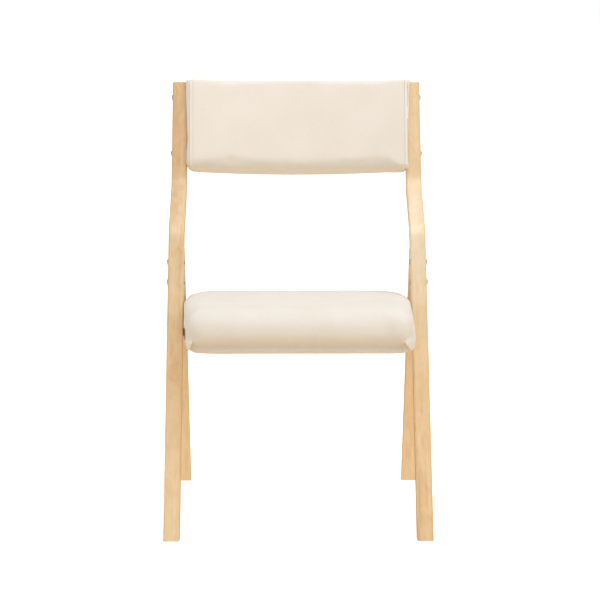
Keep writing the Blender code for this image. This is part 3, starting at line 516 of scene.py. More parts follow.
def follow_line(points, line):
    """Across, depth and distance of points along a bent line in the side view."""
    middles = np.array([point[:] for point, _ in line])[:, 1:]
    headings = np.array([heading[:] for _, heading in line])[:, 1:]
    lengths = np.concatenate([[0], np.cumsum(np.linalg.norm(np.diff(middles, axis=0), axis=1))])
    rows = np.zeros_like(points)
    best = np.full(len(points), np.inf)
    for index in range(len(line) - 1):
        span = middles[index + 1] - middles[index]
        share = np.clip(((points[:, 1:] - middles[index]) @ span) / (span @ span), 0, 1)
        off = points[:, 1:] - middles[index] - share[:, None] * span
        heading = headings[index] + share[:, None] * (headings[index + 1] - headings[index])
        far = np.linalg.norm(off, axis=1)
        near = far < best
        depth = off[:, 0] * heading[:, 1] - off[:, 1] * heading[:, 0]
        beyond = off[:, 0] * heading[:, 0] + off[:, 1] * heading[:, 1]
        reach = lengths[index] + share * np.linalg.norm(span) + beyond
        rows[near, 1], rows[near, 2] = depth[near], reach[near]
        best = np.minimum(best, far)
    rows[:, 0] = points[:, 0]
    return rows


print("post line", len(post_line()), "points")

# %% [markdown]
# A maker presses veneers round a mould. Here a plane of the strip's own section is drawn up along the leg
# with extrude and turned through each bend with spin, which keeps the section true all the way. The long
# edges are rounded before the foot is sawn level with the floor, and the sawn edge is only broken. A kerf
# in the back takes the hinge's tongue.

# %% Posts
TIMBER_ROUNDING, FOOT_ROUNDING = 0.003, 0.0008
KERF_WIDTH = 0.0046
KERF_ABOVE, KERF_BELOW = 0.0143, 0.0687
KERF_FLOOR_TO_PIN, KERF_DEPTH = 0.0285, 0.030
POST_FIGURE = 0.31
# Paleness along each post from foot to top: partly sapwood, partly painted shade at the left post's top
# beside the backrest and painted light on the right post's middle.
TONE_PLACES = (0.03, 0.45, 0.85)
POST_SAP_AND_LIGHT = {"left": (0.16, 0.10, -0.26), "right": (-0.28, 0.66, 0.06)}


def saw_foot(piece):
    """Saw a leg level with the floor and break the new edge."""
    edit(piece)
    saw((0, 0, 0), (0, 0, 1), use_fill=True, clear_inner=True)
    close_edit()
    soften_edges(piece, FOOT_ROUNDING, segments=2, angle=45.0)


def make_post(name):
    """One bent strip."""
    piece = start_piece(f"bent_post_{name}", "plane", (TIMBER_WIDTH, TIMBER_THICKNESS, 1), FOOT,
                        (-POST_LEAN, 0, 0), size=1)
    edit(piece)
    bpy.ops.mesh.select_all(action="SELECT")
    here = FOOT
    for corner, before, after in BENDS:
        entry, centre, leaving = bend_places(corner, before, after)
        draw_out(entry - here)
        bpy.ops.mesh.spin(steps=BEND_STEPS, angle=after - before, center=centre, axis=(1, 0, 0))
        here = leaving
    draw_out(POST_TOP - here)
    close_edit()
    soften_edges(piece, TIMBER_ROUNDING)
    saw_foot(piece)
    return piece


for name, side in SIDES.items():
    post = make_post(name)
    kerf_middle = FOLD_PIN + along_strip(POST_LEAN) * (KERF_ABOVE - KERF_BELOW) / 2
    kerf_middle = kerf_middle + behind_strip(POST_LEAN) * (KERF_DEPTH / 2 - KERF_FLOOR_TO_PIN)
    kerf = start_piece("kerf", "cube", (KERF_WIDTH, KERF_DEPTH, KERF_ABOVE + KERF_BELOW), kerf_middle,
                       (-POST_LEAN, 0, 0), size=1)
    cut_away(post, kerf)
    rows = follow_line(points_of(post), post_line())
    rows[:, 0] += side * POST_FIGURE
    write_attribute(post, "strip", rows)
    write_attribute(post, "sap", np.interp(rows[:, 2], TONE_PLACES, POST_SAP_AND_LIGHT[name]))
    move_mesh(post, Matrix.Translation((side * POST_X, 0, 0)))
    dress(post, birch, "frame", "birch", f"post_{name}")
    print(post.name, len(post.data.polygons), "faces")

# %% [markdown]
# The rear legs are straight bars with a forked head that turns on the fold pin. The head is cut to a
# flat that stops against the post when the chair stands, and its front is rounded so that it clears the
# post as it turns. A bar is made about the pin, shaped there with bisect and bevel, then leaned back.

# %% Rear legs
REAR_LEAN = math.radians(23.07)
FOLD_ANGLE = POST_LEAN + REAR_LEAN
LEG_CROWN, FORK_DEPTH = 0.014, 0.0165
CLOSE = 1e-4
LEG_FIGURE, LEG_GRAIN_START, LEG_TONE = 0.53, 2.0, 0.20


def make_leg(name, side):
    """Straight bar about the fold pin, with a stop flat, a round front and a fork."""
    half = TIMBER_THICKNESS / 2
    reach = FOLD_PIN.z / math.cos(REAR_LEAN) + BELOW_FLOOR
    piece = start_piece(f"straight_leg_{name}", "cube", (TIMBER_WIDTH, TIMBER_THICKNESS, reach + LEG_CROWN),
                        (0, 0, (LEG_CROWN - reach) / 2), size=1)
    flat = Vector((0, -math.cos(FOLD_ANGLE), math.sin(FOLD_ANGLE)))
    edit(piece)
    saw(flat * half, flat, use_fill=True, clear_outer=True)
    corner = half * math.tan(FOLD_ANGLE / 2)
    ridge = Vector((0, -half, corner))
    bevel_edges(piece, lambda edge: (edge_middle(edge) - ridge).length < CLOSE, corner, segments=8)
    close_edit()
    fork = start_piece("fork", "cube", (KERF_WIDTH, 4 * half, FORK_DEPTH + 2 * LEG_CROWN),
                       (0, 0, LEG_CROWN - FORK_DEPTH / 2), size=1)
    tilt = Matrix.Translation(FOLD_PIN) @ Matrix.Rotation(REAR_LEAN, 4, "X")
    move_mesh(piece, tilt)
    soften_edges(piece, TIMBER_ROUNDING)
    saw_foot(piece)
    move_mesh(fork, tilt)
    cut_away(piece, fork)
    local = (points_of(piece) - np.array(FOLD_PIN)) @ np.array(tilt.to_3x3())
    write_attribute(piece, "strip", local + np.array((side * LEG_FIGURE, 0, LEG_GRAIN_START)))
    write_attribute(piece, "sap", np.full(len(local), LEG_TONE))
    move_mesh(piece, Matrix.Translation((side * POST_X, 0, 0)))
    return piece


for name, side in SIDES.items():
    leg = dress(make_leg(name, side), birch, "rear_frame", "birch", f"rear_leg_{name}")
    print(leg.name, len(leg.data.polygons), "faces")

# %% [markdown]
# The rail between the rear legs carries the back of the seat. It is a turned birch bar with a thinner
# tenon at each end, so a cylinder gets its ends inset and drawn out, and its shoulders broken with a
# small bevel. Its grain runs across the chair.

# %% Rear rail
RAIL_DIAMETER, TENON_DIAMETER, TENON_LENGTH = 0.018, 0.014, 0.015
RAIL_ROUNDING, RAIL_LAYER, RAIL_GRAIN_START = 0.0008, 0.0008, 5.0
FACING = 0.9


def make_rail():
    low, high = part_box("rear_rail")
    middle = (low + high) / 2
    length = high.x - low.x - 2 * TENON_LENGTH
    piece = start_piece("turned_rail", "cylinder", (1, 1, 1), middle, (0, math.pi / 2, 0),
                        vertices=48, radius=RAIL_DIAMETER / 2, depth=length)
    edit(piece)
    for side in SIDES.values():
        pick(piece, lambda face: face.normal.x * side > FACING)
        bpy.ops.mesh.inset(thickness=(RAIL_DIAMETER - TENON_DIAMETER) / 2)
        draw_out((side * TENON_LENGTH, 0, 0))
    close_edit()
    soften_edges(piece, RAIL_ROUNDING, segments=2, angle=60)
    points = points_of(piece)
    layer = np.full(len(points), RAIL_LAYER)
    rows = np.stack([points[:, 1] - middle.y, layer, points[:, 0] + RAIL_GRAIN_START], axis=1)
    write_attribute(piece, "strip", rows)
    return dress(piece, birch, "rear_frame", "birch", "rear_rail")


rail = make_rail()
print(rail.name, len(rail.data.polygons), "faces")

# %% [markdown]
# Metal comes in three finishes: bright zinc on the bolts, screws and tongues, a dull dark brown coat on the
# pieces the seat turns on, and brass on the threaded inserts sunk in the timber. That dark coat is painted
# shade: it keeps those pieces out of sight by making them read as the shaded gap beside the pad. Zinc plate
# is not a mirror: it has a faint cloudiness and fine scratches, so noise varies its roughness and its tone.

# %% Metal finishes
# Darker and paler tone, clouds per metre, roughness and how metallic it is.
METALS = {
    "zinc_plate": (((0.34, 0.335, 0.325, 1), (0.50, 0.495, 0.48, 1)), 260.0, 0.32, 1.0),
    # This dark brown is painted shade on the seat's brackets, spacers and studs.
    "bronze_coat": (((0.27, 0.165, 0.09, 1), (0.35, 0.225, 0.13, 1)), 220.0, 0.6, 0.3),
    "turned_brass": (((0.60, 0.43, 0.18, 1), (0.76, 0.58, 0.28, 1)), 300.0, 0.3, 1.0),
}
CLOUD_ROUGHNESS, SCRATCH_FINENESS = 0.22, 9
SCRATCH_BUMP, SCRATCH_DEPTH = 0.08, 0.0002


def make_metal(name, tones, cloud_scale, roughness, metallic):
    made, tree, bsdf = new_finish(name, roughness, metallic)
    place = add_node(tree, "TexCoord").outputs["Object"]
    cloud = noise_node(tree, place, cloud_scale)
    scratch = noise_node(tree, place, cloud_scale * SCRATCH_FINENESS)
    tree.links.new(blend_node(tree, cloud, *tones), bsdf.inputs["Base Color"])
    rough = math_node(tree, "MULTIPLY_ADD", cloud, CLOUD_ROUGHNESS, roughness - CLOUD_ROUGHNESS / 2)
    tree.links.new(rough, bsdf.inputs["Roughness"])
    raise_surface(tree, bsdf, scratch, SCRATCH_BUMP, SCRATCH_DEPTH)
    return made


zinc, painted_shade_metal, brass = (make_metal(name, *form) for name, form in METALS.items())
print("metals", zinc.name, painted_shade_metal.name, brass.name)

# %% [markdown]
# Every bolt and screw is a low domed head with a hexagon socket on a plain shank. One is modelled from a
# cylinder: the rim is bevelled to a dome, the underside inset and drawn down to the shank, and the
# socket cut out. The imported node's box says how long and wide each one is and which way it points.

# %% Bolts and screws
LEVELS = ("upper", "lower")
FASTENERS = {
    "hinge_sleeve_nut": {"ends": LEVELS, "head": 0.0021, "shank": 0.0070, "inward": False},
    "hinge_screw": {"ends": LEVELS, "head": 0.0018, "shank": 0.0040, "inward": True},
    "backrest_bolt": {"ends": LEVELS, "head": 0.0021, "shank": 0.0050, "inward": False},
    "seat_screw": {"ends": (1, 2, 3), "head": 0.0022, "shank": 0.0040, "inward": False},
}
DOME_SHARE, SOCKET_SHARE, SOCKET_DEPTH_SHARE = 0.72, 0.27, 0.62


def make_fastener(node, head, shank, inward):
    """Domed bolt with a hexagon socket, where a packed fastener is."""
    low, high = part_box(node)
    size, middle = high - low, (low + high) / 2
    length = max(size.x, size.z)
    radius = size.y / 2
    piece = start_piece(node + "_turned", "cylinder", place=(0, 0, -head / 2),
                        vertices=48, radius=radius, depth=head)
    edit(piece)
    pick(piece, lambda face: face.normal.z < -FACING)
    bpy.ops.mesh.inset(thickness=radius - shank / 2)
    draw_out((0, 0, head - length))
    bevel_edges(piece, lambda edge: edge_ends(edge, 2)[0] > -CLOSE, head * DOME_SHARE, segments=5)
    close_edit()
    socket = start_piece("socket", "cylinder", vertices=6, radius=radius * 2 * SOCKET_SHARE,
                         depth=2 * head * SOCKET_DEPTH_SHARE)
    cut_away(piece, socket)
    shade(piece, 35)
    if size.z > size.x:
        facing = Matrix.Translation((middle.x, middle.y, low.z)) @ Matrix.Rotation(math.pi, 4, "X")
    else:
        side = math.copysign(1, middle.x) * (-1 if inward else 1)
        outer = high.x if side > 0 else low.x
        facing = Matrix.Translation((outer, middle.y, middle.z)) @ Matrix.Rotation(side * math.pi / 2, 4, "Y")
    move_mesh(piece, facing)
    return piece


for kind, form in FASTENERS.items():
    nodes = [f"{kind}_{side}_{end}" for side in SIDES for end in form["ends"]]
    for node in nodes:
        made = make_fastener(node, form["head"], form["shank"], form["inward"])
        dress(made, zinc, "seat" if kind == "seat_screw" else "frame", "steel", node)
    print(kind, len(nodes))

# %% [markdown]
# Tongues, brackets, spacers, pins and studs are cut or turned steel whose imported shape is right, so they
# stay and only take a new finish: zinc plating, or the dark painted-shade coat on the seat's brackets,
# spacers and studs. The inserts take brass.

# %% Packed metal pieces
# The seat's brackets, spacers and pivot studs take the dark coat as painted shade.
PACKED_FINISHES = {
    "hinge_tongue": zinc, "fold_pin": zinc, "seat_bracket": painted_shade_metal, "seat_spacer": painted_shade_metal,
    "seat_pivot_stud": painted_shade_metal, "seat_pivot_insert": brass, "backrest_insert": brass,
}
for name, node in frame["nodes"].items():
    for kind, finish in PACKED_FINISHES.items():
        if name.startswith(kind):
            node.data.materials.clear()
            node.data.materials.append(finish)
print("metal kinds dressed", len(PACKED_FINISHES))

# %% [markdown]
# The cover is a cream cotton weave. Its threads are finer than a pixel, but slubs, which are thicker
# stretches of yarn, show as faint short streaks both ways, a few nubs of darker husk are spun in, and the
# whole cloth is a little uneven in tone. The pattern reads an attribute called cloth: two distances measured
# on the surface and a tone, so the weave wraps round the rolled edges and never stretches. A tone above 0
# blends the colour towards white: paler cloth on the stitches, paler cloth and painted light on the end
# strips and seam bands, and a painted highlight on the tucks' flaps. A tone below 0 blends it towards the
# husk colour as painted shade, in the seat's groove, in the tucks and along the seam rims.

# %% Cover fabric
FABRIC_WHITE = (0.90, 0.865, 0.81, 1)
FABRIC_HUSK_AND_SHADE = (0.56, 0.46, 0.34, 1)
FABRIC_TONES = ((0.30, (0.82, 0.75, 0.655, 1)), (0.50, (0.87, 0.815, 0.735, 1)), (0.70, FABRIC_WHITE))
# Streaks per metre across and down the cloth, then their detail. Each has its own depth in the noise.
WEFT, WARP, PATCHES, NUBS = (55.0, 850.0, 3.0), (850.0, 55.0, 3.0), (12.0, 12.0, 1.0), (230.0, 230.0, 1.0)
SLUB_WEIGHT, PATCH_WEIGHT, PATCH_BASE = 0.25, 0.28, 0.11
NUB_LEVEL, NUB_WEIGHT = 0.76, 0.45
THREAD_PITCH, THREAD_RELIEF = 0.0011, 0.35
WEAVE_BUMP, WEAVE_DEPTH = 0.22, 0.0006
FABRIC_ROUGHNESS, SHEEN, SHEEN_ROUGHNESS = 0.86, 0.18, 0.55


def make_fabric():
    made, tree, bsdf = new_finish("cream_weave", FABRIC_ROUGHNESS)
    cloth = add_node(tree, "Attribute", attribute_name="cloth").outputs["Vector"]
    across, down, tone = add_node(tree, "SeparateXYZ", cloth).outputs
    weft, warp, patch, nubs = (streaks(tree, across, layer, down, *form)
                               for layer, form in ((1.0, WEFT), (9.0, WARP), (4.0, PATCHES), (2.0, NUBS)))
    slubs = math_node(tree, "MULTIPLY", math_node(tree, "ADD", weft, warp), SLUB_WEIGHT)
    mix = math_node(tree, "ADD", slubs, math_node(tree, "MULTIPLY_ADD", patch, PATCH_WEIGHT, PATCH_BASE))
    husk = math_node(tree, "MULTIPLY", math_node(tree, "GREATER_THAN", nubs, NUB_LEVEL), NUB_WEIGHT)
    colour = blend_node(tree, husk, ramp_node(tree, mix, FABRIC_TONES), FABRIC_HUSK_AND_SHADE)
    # Tone above 0 is paler cloth and painted light. Tone below 0 is painted shade in the husk colour.
    colour = blend_node(tree, tone, colour, FABRIC_WHITE)
    colour = blend_node(tree, math_node(tree, "MULTIPLY", tone, -1.0), colour, FABRIC_HUSK_AND_SHADE)
    tree.links.new(colour, bsdf.inputs["Base Color"])
    waves = [math_node(tree, "SINE", math_node(tree, "MULTIPLY", place, 2 * math.pi / THREAD_PITCH))
             for place in (across, down)]
    threads = math_node(tree, "MULTIPLY", *waves)
    relief = math_node(tree, "MULTIPLY_ADD", threads, THREAD_RELIEF, mix)
    raise_surface(tree, bsdf, relief, WEAVE_BUMP, WEAVE_DEPTH)
    bsdf.inputs["Sheen Weight"].default_value = SHEEN
    bsdf.inputs["Sheen Roughness"].default_value = SHEEN_ROUGHNESS
    return made


fabric = make_fabric()
print("fabric nodes", len(fabric.node_tree.nodes))

# %% [markdown]
# Both cushions go through the same three steps. A low block is modelled a little smaller than the
# finished pad, its surface is remeshed into even squares, and a cloth simulation with air pressure swells
# it while the part that is stretched over the board is held. The swelling is capped softly, as foam under
# a cover would cap it.

# %% Swell a pad
CLOTH_FRAMES = 20
CLOTH = {
    "quality": 6, "mass": 0.3, "tension_stiffness": 14, "compression_stiffness": 14, "bending_stiffness": 0.6,
    "shrink_min": -0.02, "use_pressure": True, "uniform_pressure_force": 4.0, "vertex_group_mass": "held",
}


def swell(piece, held, cap):
    """Let cloth simulation swell a remeshed pad, with some points held and every move capped."""
    start = points_of(piece)
    group = piece.vertex_groups.new(name="held")
    group.add([int(index) for index in np.flatnonzero(held(start))], 1.0, "REPLACE")
    only(piece)
    modifier = piece.modifiers.new("cloth", "CLOTH")
    for key, value in CLOTH.items():
        setattr(modifier.settings, key, value)
    modifier.settings.effector_weights.gravity = 0
    for step in range(1, CLOTH_FRAMES + 1):
        scene.frame_set(step)
    bpy.ops.object.modifier_apply(modifier=modifier.name)
    scene.frame_set(1)
    piece.vertex_groups.clear()
    moved = points_of(piece) - start
    far = np.maximum(np.linalg.norm(moved, axis=1), 1e-9)
    write_points(piece, start + moved * (cap * np.tanh(far / cap) / far)[:, None])
    return far.max()


def even_squares(piece, voxel):
    """Remesh a block for the simulation."""
    apply_modifier(piece, "REMESH", mode="VOXEL", voxel_size=voxel)
    apply_modifier(piece, "SMOOTH", factor=0.5, iterations=2)


def refine(piece, rounds):
    """Smooth a swelled pad and divide its squares."""
    apply_modifier(piece, "SMOOTH", factor=0.5, iterations=rounds)
    apply_modifier(piece, "SUBSURF", levels=1)


def smooth_step(value, low, high):
    """Share from 0 to 1 that eases in and out between two places."""
    share = np.clip((value - low) / (high - low), 0, 1)
    return share * share * (3 - 2 * share)


def round_over(share):
    """Fall of a quarter circle, from 0 where it is level to 1 where it is upright."""
    return 1 - np.sqrt(1 - np.clip(share, 0, 1) ** 2)


def fit_range(values, low, high):
    """Stretch a row of values so that it runs from low to high."""
    return low + (values - values.min()) * (high - low) / (values.max() - values.min())


print("cloth frames", CLOTH_FRAMES)

# %% [markdown]
# The seat pad is foam on a plywood board, with the cover pulled under and fixed below. Its block starts as
# a cube whose upright corners and upper rim are bevelled.

# %% Seat block
SEAT_LOW, SEAT_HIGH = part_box("seat_cover")
BOARD_LOW, BOARD_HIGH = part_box("seat_board")
SEAT_SWELL, SEAT_VOXEL = 0.0085, 0.005
SEAT_CORNER, SEAT_RIM = 0.034, 0.014


def model_seat_block():
    """Rounded block, a little lower than the finished pad."""
    low, high = SEAT_LOW, SEAT_HIGH - Vector((0, 0, SEAT_SWELL))
    piece = start_piece("seat_cushion", "cube", high - low, (low + high) / 2, size=1)
    edit(piece)
    bevel_edges(piece, lambda edge: edge_reach(edge, 2) > CLOSE, SEAT_CORNER, segments=8)
    bevel_edges(piece, lambda edge: edge_ends(edge, 2)[0] > high.z - CLOSE, SEAT_RIM, segments=6)
    close_edit()
    return piece


seat = model_seat_block()
even_squares(seat, SEAT_VOXEL)
print("seat swelled by", round(swell(seat, lambda rows: rows[:, 2] < BOARD_HIGH.z, SEAT_SWELL), 4))
refine(seat, 9)
print("seat points", len(seat.data.vertices))

# %% [markdown]
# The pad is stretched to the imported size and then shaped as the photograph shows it: the front rolls over
# in one long curve, the top falls a little to the rear and its rear corners droop, the sides belly out,
# and above the board's edge the foam hangs over, which leaves a soft groove and a puckered roll. A pair of
# places in brackets says where a change begins and where it is complete.

# %% Seat shape
UPPER_HEIGHTS = (0.346, 0.358)
SEAT_HALF_UPPER, SEAT_LIMIT, LIMIT_SOFT = 0.2052, 0.2054, 0.0022
SIDE_BELLY, BELLY_MIDDLE, BELLY_REACH = 0.024, -0.05, 0.205
FRONT_NARROWS, NARROW_PART = 0.044, (0.12, 0.24)
FRONT_SHIFT, SHIFT_PART = 0.0036, (0.05, 0.2)
SHOULDERS, SHOULDER_HEIGHTS, SHOULDER_DEPTHS = 0.060, (0.364, 0.388), (-0.17, -0.03)
CROWN_LIFT, LIFT_HEIGHTS = 0.008, (0.350, 0.390)
REAR_DROP, DROP_DEPTHS = 0.0115, (-0.06, 0.14)
CORNER_DROOP, DROOP_FROM, DROOP_WIDTH, DROOP_DEPTHS = 0.010, 0.145, 0.062, (0.03, 0.13)
FRONT_ROLL, ROLL_REACH, ROLL_FROM = 0.026, 0.085, 0.356
GROOVE_TOP, GROOVE_LEVEL, GROOVE_DEPTH, GROOVE_CURVE = 0.366, 0.3385, 0.0125, 1.5
LIP_HEIGHT, LIP_WANDER, LIP_WIDTH, LIP_SWELL, LIP_PUCKER = 0.3345, 0.0006, 0.0042, 0.0034, 0.0007
FULL_CORNERS, FULL_FRONT, FULL_SIDES, FULL_DEPTHS = 0.85, (0.112, 0.145), (0.168, 0.190), (0.0, 0.1)
LOWER_ROLL, LOWER_ROLL_FROM = 0.012, 0.352


def widen_upper(points):
    """Bellied sides, a narrower front and squarer shoulders towards the rear."""
    x, y, z = points.T
    belly = np.maximum(0, 1 - ((y - BELLY_MIDDLE) / BELLY_REACH) ** 2)
    wider = SEAT_HALF_UPPER / SEAT_HIGH.x - 1 + SIDE_BELLY * belly
    wider -= FRONT_NARROWS * smooth_step(-y, *NARROW_PART)
    wider += SHOULDERS * smooth_step(z, *SHOULDER_HEIGHTS) * smooth_step(y, *SHOULDER_DEPTHS)
    x = x * (1 + smooth_step(z, *UPPER_HEIGHTS) * wider)
    limit = SEAT_LIMIT - LIMIT_SOFT
    far = np.maximum(0, np.abs(x) - limit)
    x = np.sign(x) * (np.minimum(np.abs(x), limit) + LIMIT_SOFT * np.tanh(far / LIMIT_SOFT))
    return np.stack([x + FRONT_SHIFT * smooth_step(-y, *SHIFT_PART), y, z], axis=1)


def crown_top(points):
    """Higher towards the front, lower towards the rear, and rolled over along the front."""
    x, y, z = points.T
    corners = round_over((np.abs(x) - DROOP_FROM) / DROOP_WIDTH) * smooth_step(y, *DROOP_DEPTHS)
    lift = CROWN_LIFT - REAR_DROP * smooth_step(y, *DROP_DEPTHS) - CORNER_DROOP * corners
    z = z + lift * smooth_step(z, *LIFT_HEIGHTS)
    rise = (z - ROLL_FROM) / (SEAT_HIGH.z + CROWN_LIFT - ROLL_FROM)
    near = smooth_step(-y, -SEAT_LOW.y - ROLL_REACH, -SEAT_LOW.y)
    return np.stack([x, y + FRONT_ROLL * round_over(rise) * near, z], axis=1)


def groove_lip(points):
    """Foam that hangs over the board's edge, with a soft groove and a lip below it.

    The lip puckers in waves of unlike lengths, so that it never repeats.
    """
    x, y, z = points.T
    middle = (SEAT_LOW.y + SEAT_HIGH.y) / 2
    pucker = np.sin(x * 83) + np.sin(x * 197 + 1.3) * np.sin(x * 41) + 0.8 * np.sin(x * 389 + 0.4)
    level = LIP_HEIGHT + LIP_WANDER * (np.sin(x * 61 + 0.7) + np.sin(x * 143))
    inset = GROOVE_DEPTH * smooth_step(-z, -GROOVE_TOP, -GROOVE_LEVEL) ** GROOVE_CURVE
    inset -= (LIP_SWELL + LIP_PUCKER * pucker) * np.exp(-((z - level) / LIP_WIDTH) ** 2)
    front = 1 - FULL_CORNERS * smooth_step(-y, *FULL_FRONT)
    side = 1 - FULL_CORNERS * smooth_step(np.abs(x), *FULL_SIDES) * smooth_step(-y, *FULL_DEPTHS)
    roll = LOWER_ROLL * round_over((LOWER_ROLL_FROM - z) / (LOWER_ROLL_FROM - SEAT_LOW.z))
    x = x * (1 - (inset * front + roll * (1 - front)) / SEAT_HIGH.x)
    y = middle + (y - middle) * (1 - (inset * side + roll * (1 - side)) / (SEAT_HIGH.y - middle))
    return np.stack([x, y, z], axis=1)


points = points_of(seat)
for axis in range(3):
    points[:, axis] = fit_range(points[:, axis], SEAT_LOW[axis], SEAT_HIGH[axis])
write_points(seat, groove_lip(crown_top(widen_upper(points))))
apply_modifier(seat, "SMOOTH", factor=0.5, iterations=8)
points = points_of(seat)
print("seat box", points.min(0).round(4), points.max(0).round(4))

# %% [markdown]
# At each front corner the spare cloth is folded into a tuck before it goes under. The mesh is subdivided
# there, and the cloth on the outer side of the fold is raised while the inner side sinks under it into shade.
# Its colour gets a painted highlight on the outer side and painted shade on the inner side.

# %% Corner tucks
TUCKS = {"left": ((-0.1820, 0.3490), (-0.1872, 0.3325)), "right": ((0.1818, 0.3485), (0.1935, 0.3310))}
TUCK_BEGINS, TUCK_ENDS = (-0.25, 0.25), (1.0, 1.3)
TUCK_OUTER, TUCK_INNER, TUCK_SOFT = 0.012, 0.0055, 0.0006
TUCK_HEIGHT, TUCK_SINK = 0.0050, -0.8
# Painted highlight on a tuck's outer side and painted shade on its inner side, as cloth tones.
TUCK_PAINTED_HIGHLIGHT, TUCK_PAINTED_SHADE = 0.8, -0.6
TUCK_OUTWARD, TUCK_FORWARD = 0.25, -0.97
TUCK_REGION, TUCK_FRONT = 0.024, -0.16


def tuck_place(points, name):
    """How far points are outside a fold line seen from the front, and how much it holds there."""
    start, end = (np.array(place) for place in TUCKS[name])
    length = np.linalg.norm(end - start)
    line = (end - start) / length
    rows = points[:, (0, 2)] - start
    share = rows @ line / length
    off = SIDES[name] * (rows[:, 0] * -line[1] + rows[:, 1] * line[0])
    hold = smooth_step(share, *TUCK_BEGINS) * (1 - smooth_step(share, *TUCK_ENDS))
    return off, hold * (points[:, 1] < TUCK_FRONT)


def beside_fold(off, outer, inner):
    """One value on the outer side of a fold and one on its inner side, both fading away from it."""
    far = np.abs(off)
    return np.where(off > 0, outer * np.exp(-far / TUCK_OUTER), inner * np.exp(-far / TUCK_INNER))


def fold_tuck(points, name):
    """Raise the outer side of a fold and sink its inner side."""
    off, hold = tuck_place(points, name)
    push = TUCK_HEIGHT * hold * beside_fold(off, 1.0, TUCK_SINK) * np.tanh(np.abs(off) / TUCK_SOFT)
    return points + push[:, None] * np.array((SIDES[name] * TUCK_OUTWARD, TUCK_FORWARD, 0))


def tuck_painted_light(points, name):
    """Painted highlight on the outer side of a fold and painted shade on its inner side."""
    off, hold = tuck_place(points, name)
    return hold * beside_fold(off, TUCK_PAINTED_HIGHLIGHT, TUCK_PAINTED_SHADE)


for name, (start, end) in TUCKS.items():
    edit(seat)
    middle = Vector(((start[0] + end[0]) / 2, 0, (start[1] + end[1]) / 2))
    found = pick(seat, lambda face: face.calc_center_median().y < TUCK_FRONT
                 and ((face.calc_center_median() - middle) * Vector((1, 0, 1))).length < TUCK_REGION)
    bpy.ops.mesh.subdivide(number_cuts=2)
    close_edit()
    write_points(seat, fold_tuck(points_of(seat), name))
    print("tuck", name, found, "faces")

# %% [markdown]
# The underside follows the upholsterer: the cover ends in a hem on the board, and the bare board shows
# inside it. The underside is first pulled flat. Four bisect cuts then mark the hem's edge on it, and the
# area inside is drawn up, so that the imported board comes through.

# %% Seat hem
HEM, HEM_RISE = 0.026, 0.006
HEM_LOW, HEM_HIGH = BOARD_LOW + Vector((HEM, HEM, 0)), BOARD_HIGH - Vector((HEM, HEM, 0))
FLAT_FROM, FLAT_TO, FLAT_LEVEL = (SEAT_LOW.z + rise for rise in (0.004, -0.001, 0.0003))
NEAR_FLAT, LEVEL_NORMAL = 0.003, 0.95


def hem_seat(piece):
    """Mark the hem's edge underneath and draw up the area inside it."""
    low = points_of(piece)[:, 2].min()

    def underneath(face):
        return face.normal.z < -LEVEL_NORMAL and face.calc_center_median().z < low + NEAR_FLAT

    def inside(face):
        middle = face.calc_center_median()
        return underneath(face) and all(HEM_LOW[axis] < middle[axis] < HEM_HIGH[axis] for axis in (0, 1))

    edit(piece)
    for axis, normal in enumerate((Vector((1, 0, 0)), Vector((0, 1, 0)))):
        for place in (HEM_LOW[axis], HEM_HIGH[axis]):
            pick(piece, underneath)
            bpy.ops.mesh.bisect(plane_co=normal * place, plane_no=normal)
    found = pick(piece, inside)
    draw_out((0, 0, HEM_RISE))
    close_edit()
    return found


points = points_of(seat)
flat = smooth_step(points[:, 2], FLAT_FROM, FLAT_TO)
points[:, 2] = points[:, 2] * (1 - flat) + FLAT_LEVEL * flat
write_points(seat, points)
print("hem faces", hem_seat(seat))

# %% [markdown]
# The weave runs on over the rolled edges, so a point's drop below the top is added to its distance across or
# forward. Painted shade darkens the cloth along the groove under the front and on the inner sides of the
# tucks, and a painted highlight lightens their outer sides.

# %% Seat weave
GROOVE_SHADE, GROOVE_SHADE_LEVEL, GROOVE_SHADE_REACH = -0.40, 0.3415, 0.0095
SHADE_ENDS = (0.176, 0.186)
SIDE_TURN, FRONT_TURN = 0.03, 0.035


def seat_cloth(points):
    """Distances along the cover, carried down over the rolled edges, and a tone of painted shade and
    highlight.
    """
    x, y, z = points.T
    drop = np.maximum(0, SEAT_HIGH.z - z)
    to_side = smooth_step(np.abs(x), SEAT_HIGH.x - SIDE_TURN, SEAT_HIGH.x)
    to_front = smooth_step(-y, -SEAT_LOW.y - FRONT_TURN, -SEAT_LOW.y)
    both = np.maximum(to_side + to_front, 1)
    # Painted shade along the groove under the front, fading out before the corners, plus the tucks' painted
    # highlight and shade.
    tone = GROOVE_SHADE * np.exp(-((z - GROOVE_SHADE_LEVEL) / GROOVE_SHADE_REACH) ** 2)
    tone *= 1 - smooth_step(np.abs(x), *SHADE_ENDS)
    for name in TUCKS:
        tone += tuck_painted_light(points, name)
    return np.stack([x + np.sign(x) * drop * to_side / both, y - drop * to_front / both, tone], axis=1)


write_attribute(seat, "cloth", seat_cloth(points_of(seat)))
shade(seat, 60)
dress(seat, fabric, "seat", "cover", "seat_cover", "seat_foam")
print(seat.name, len(seat.data.polygons), "faces")

# %% [markdown]
# The backrest pad hangs on a bowed board between the posts and its front wraps a little way over them. Its
# block is modelled flat, as a slab with a thicker middle that fits between the posts.

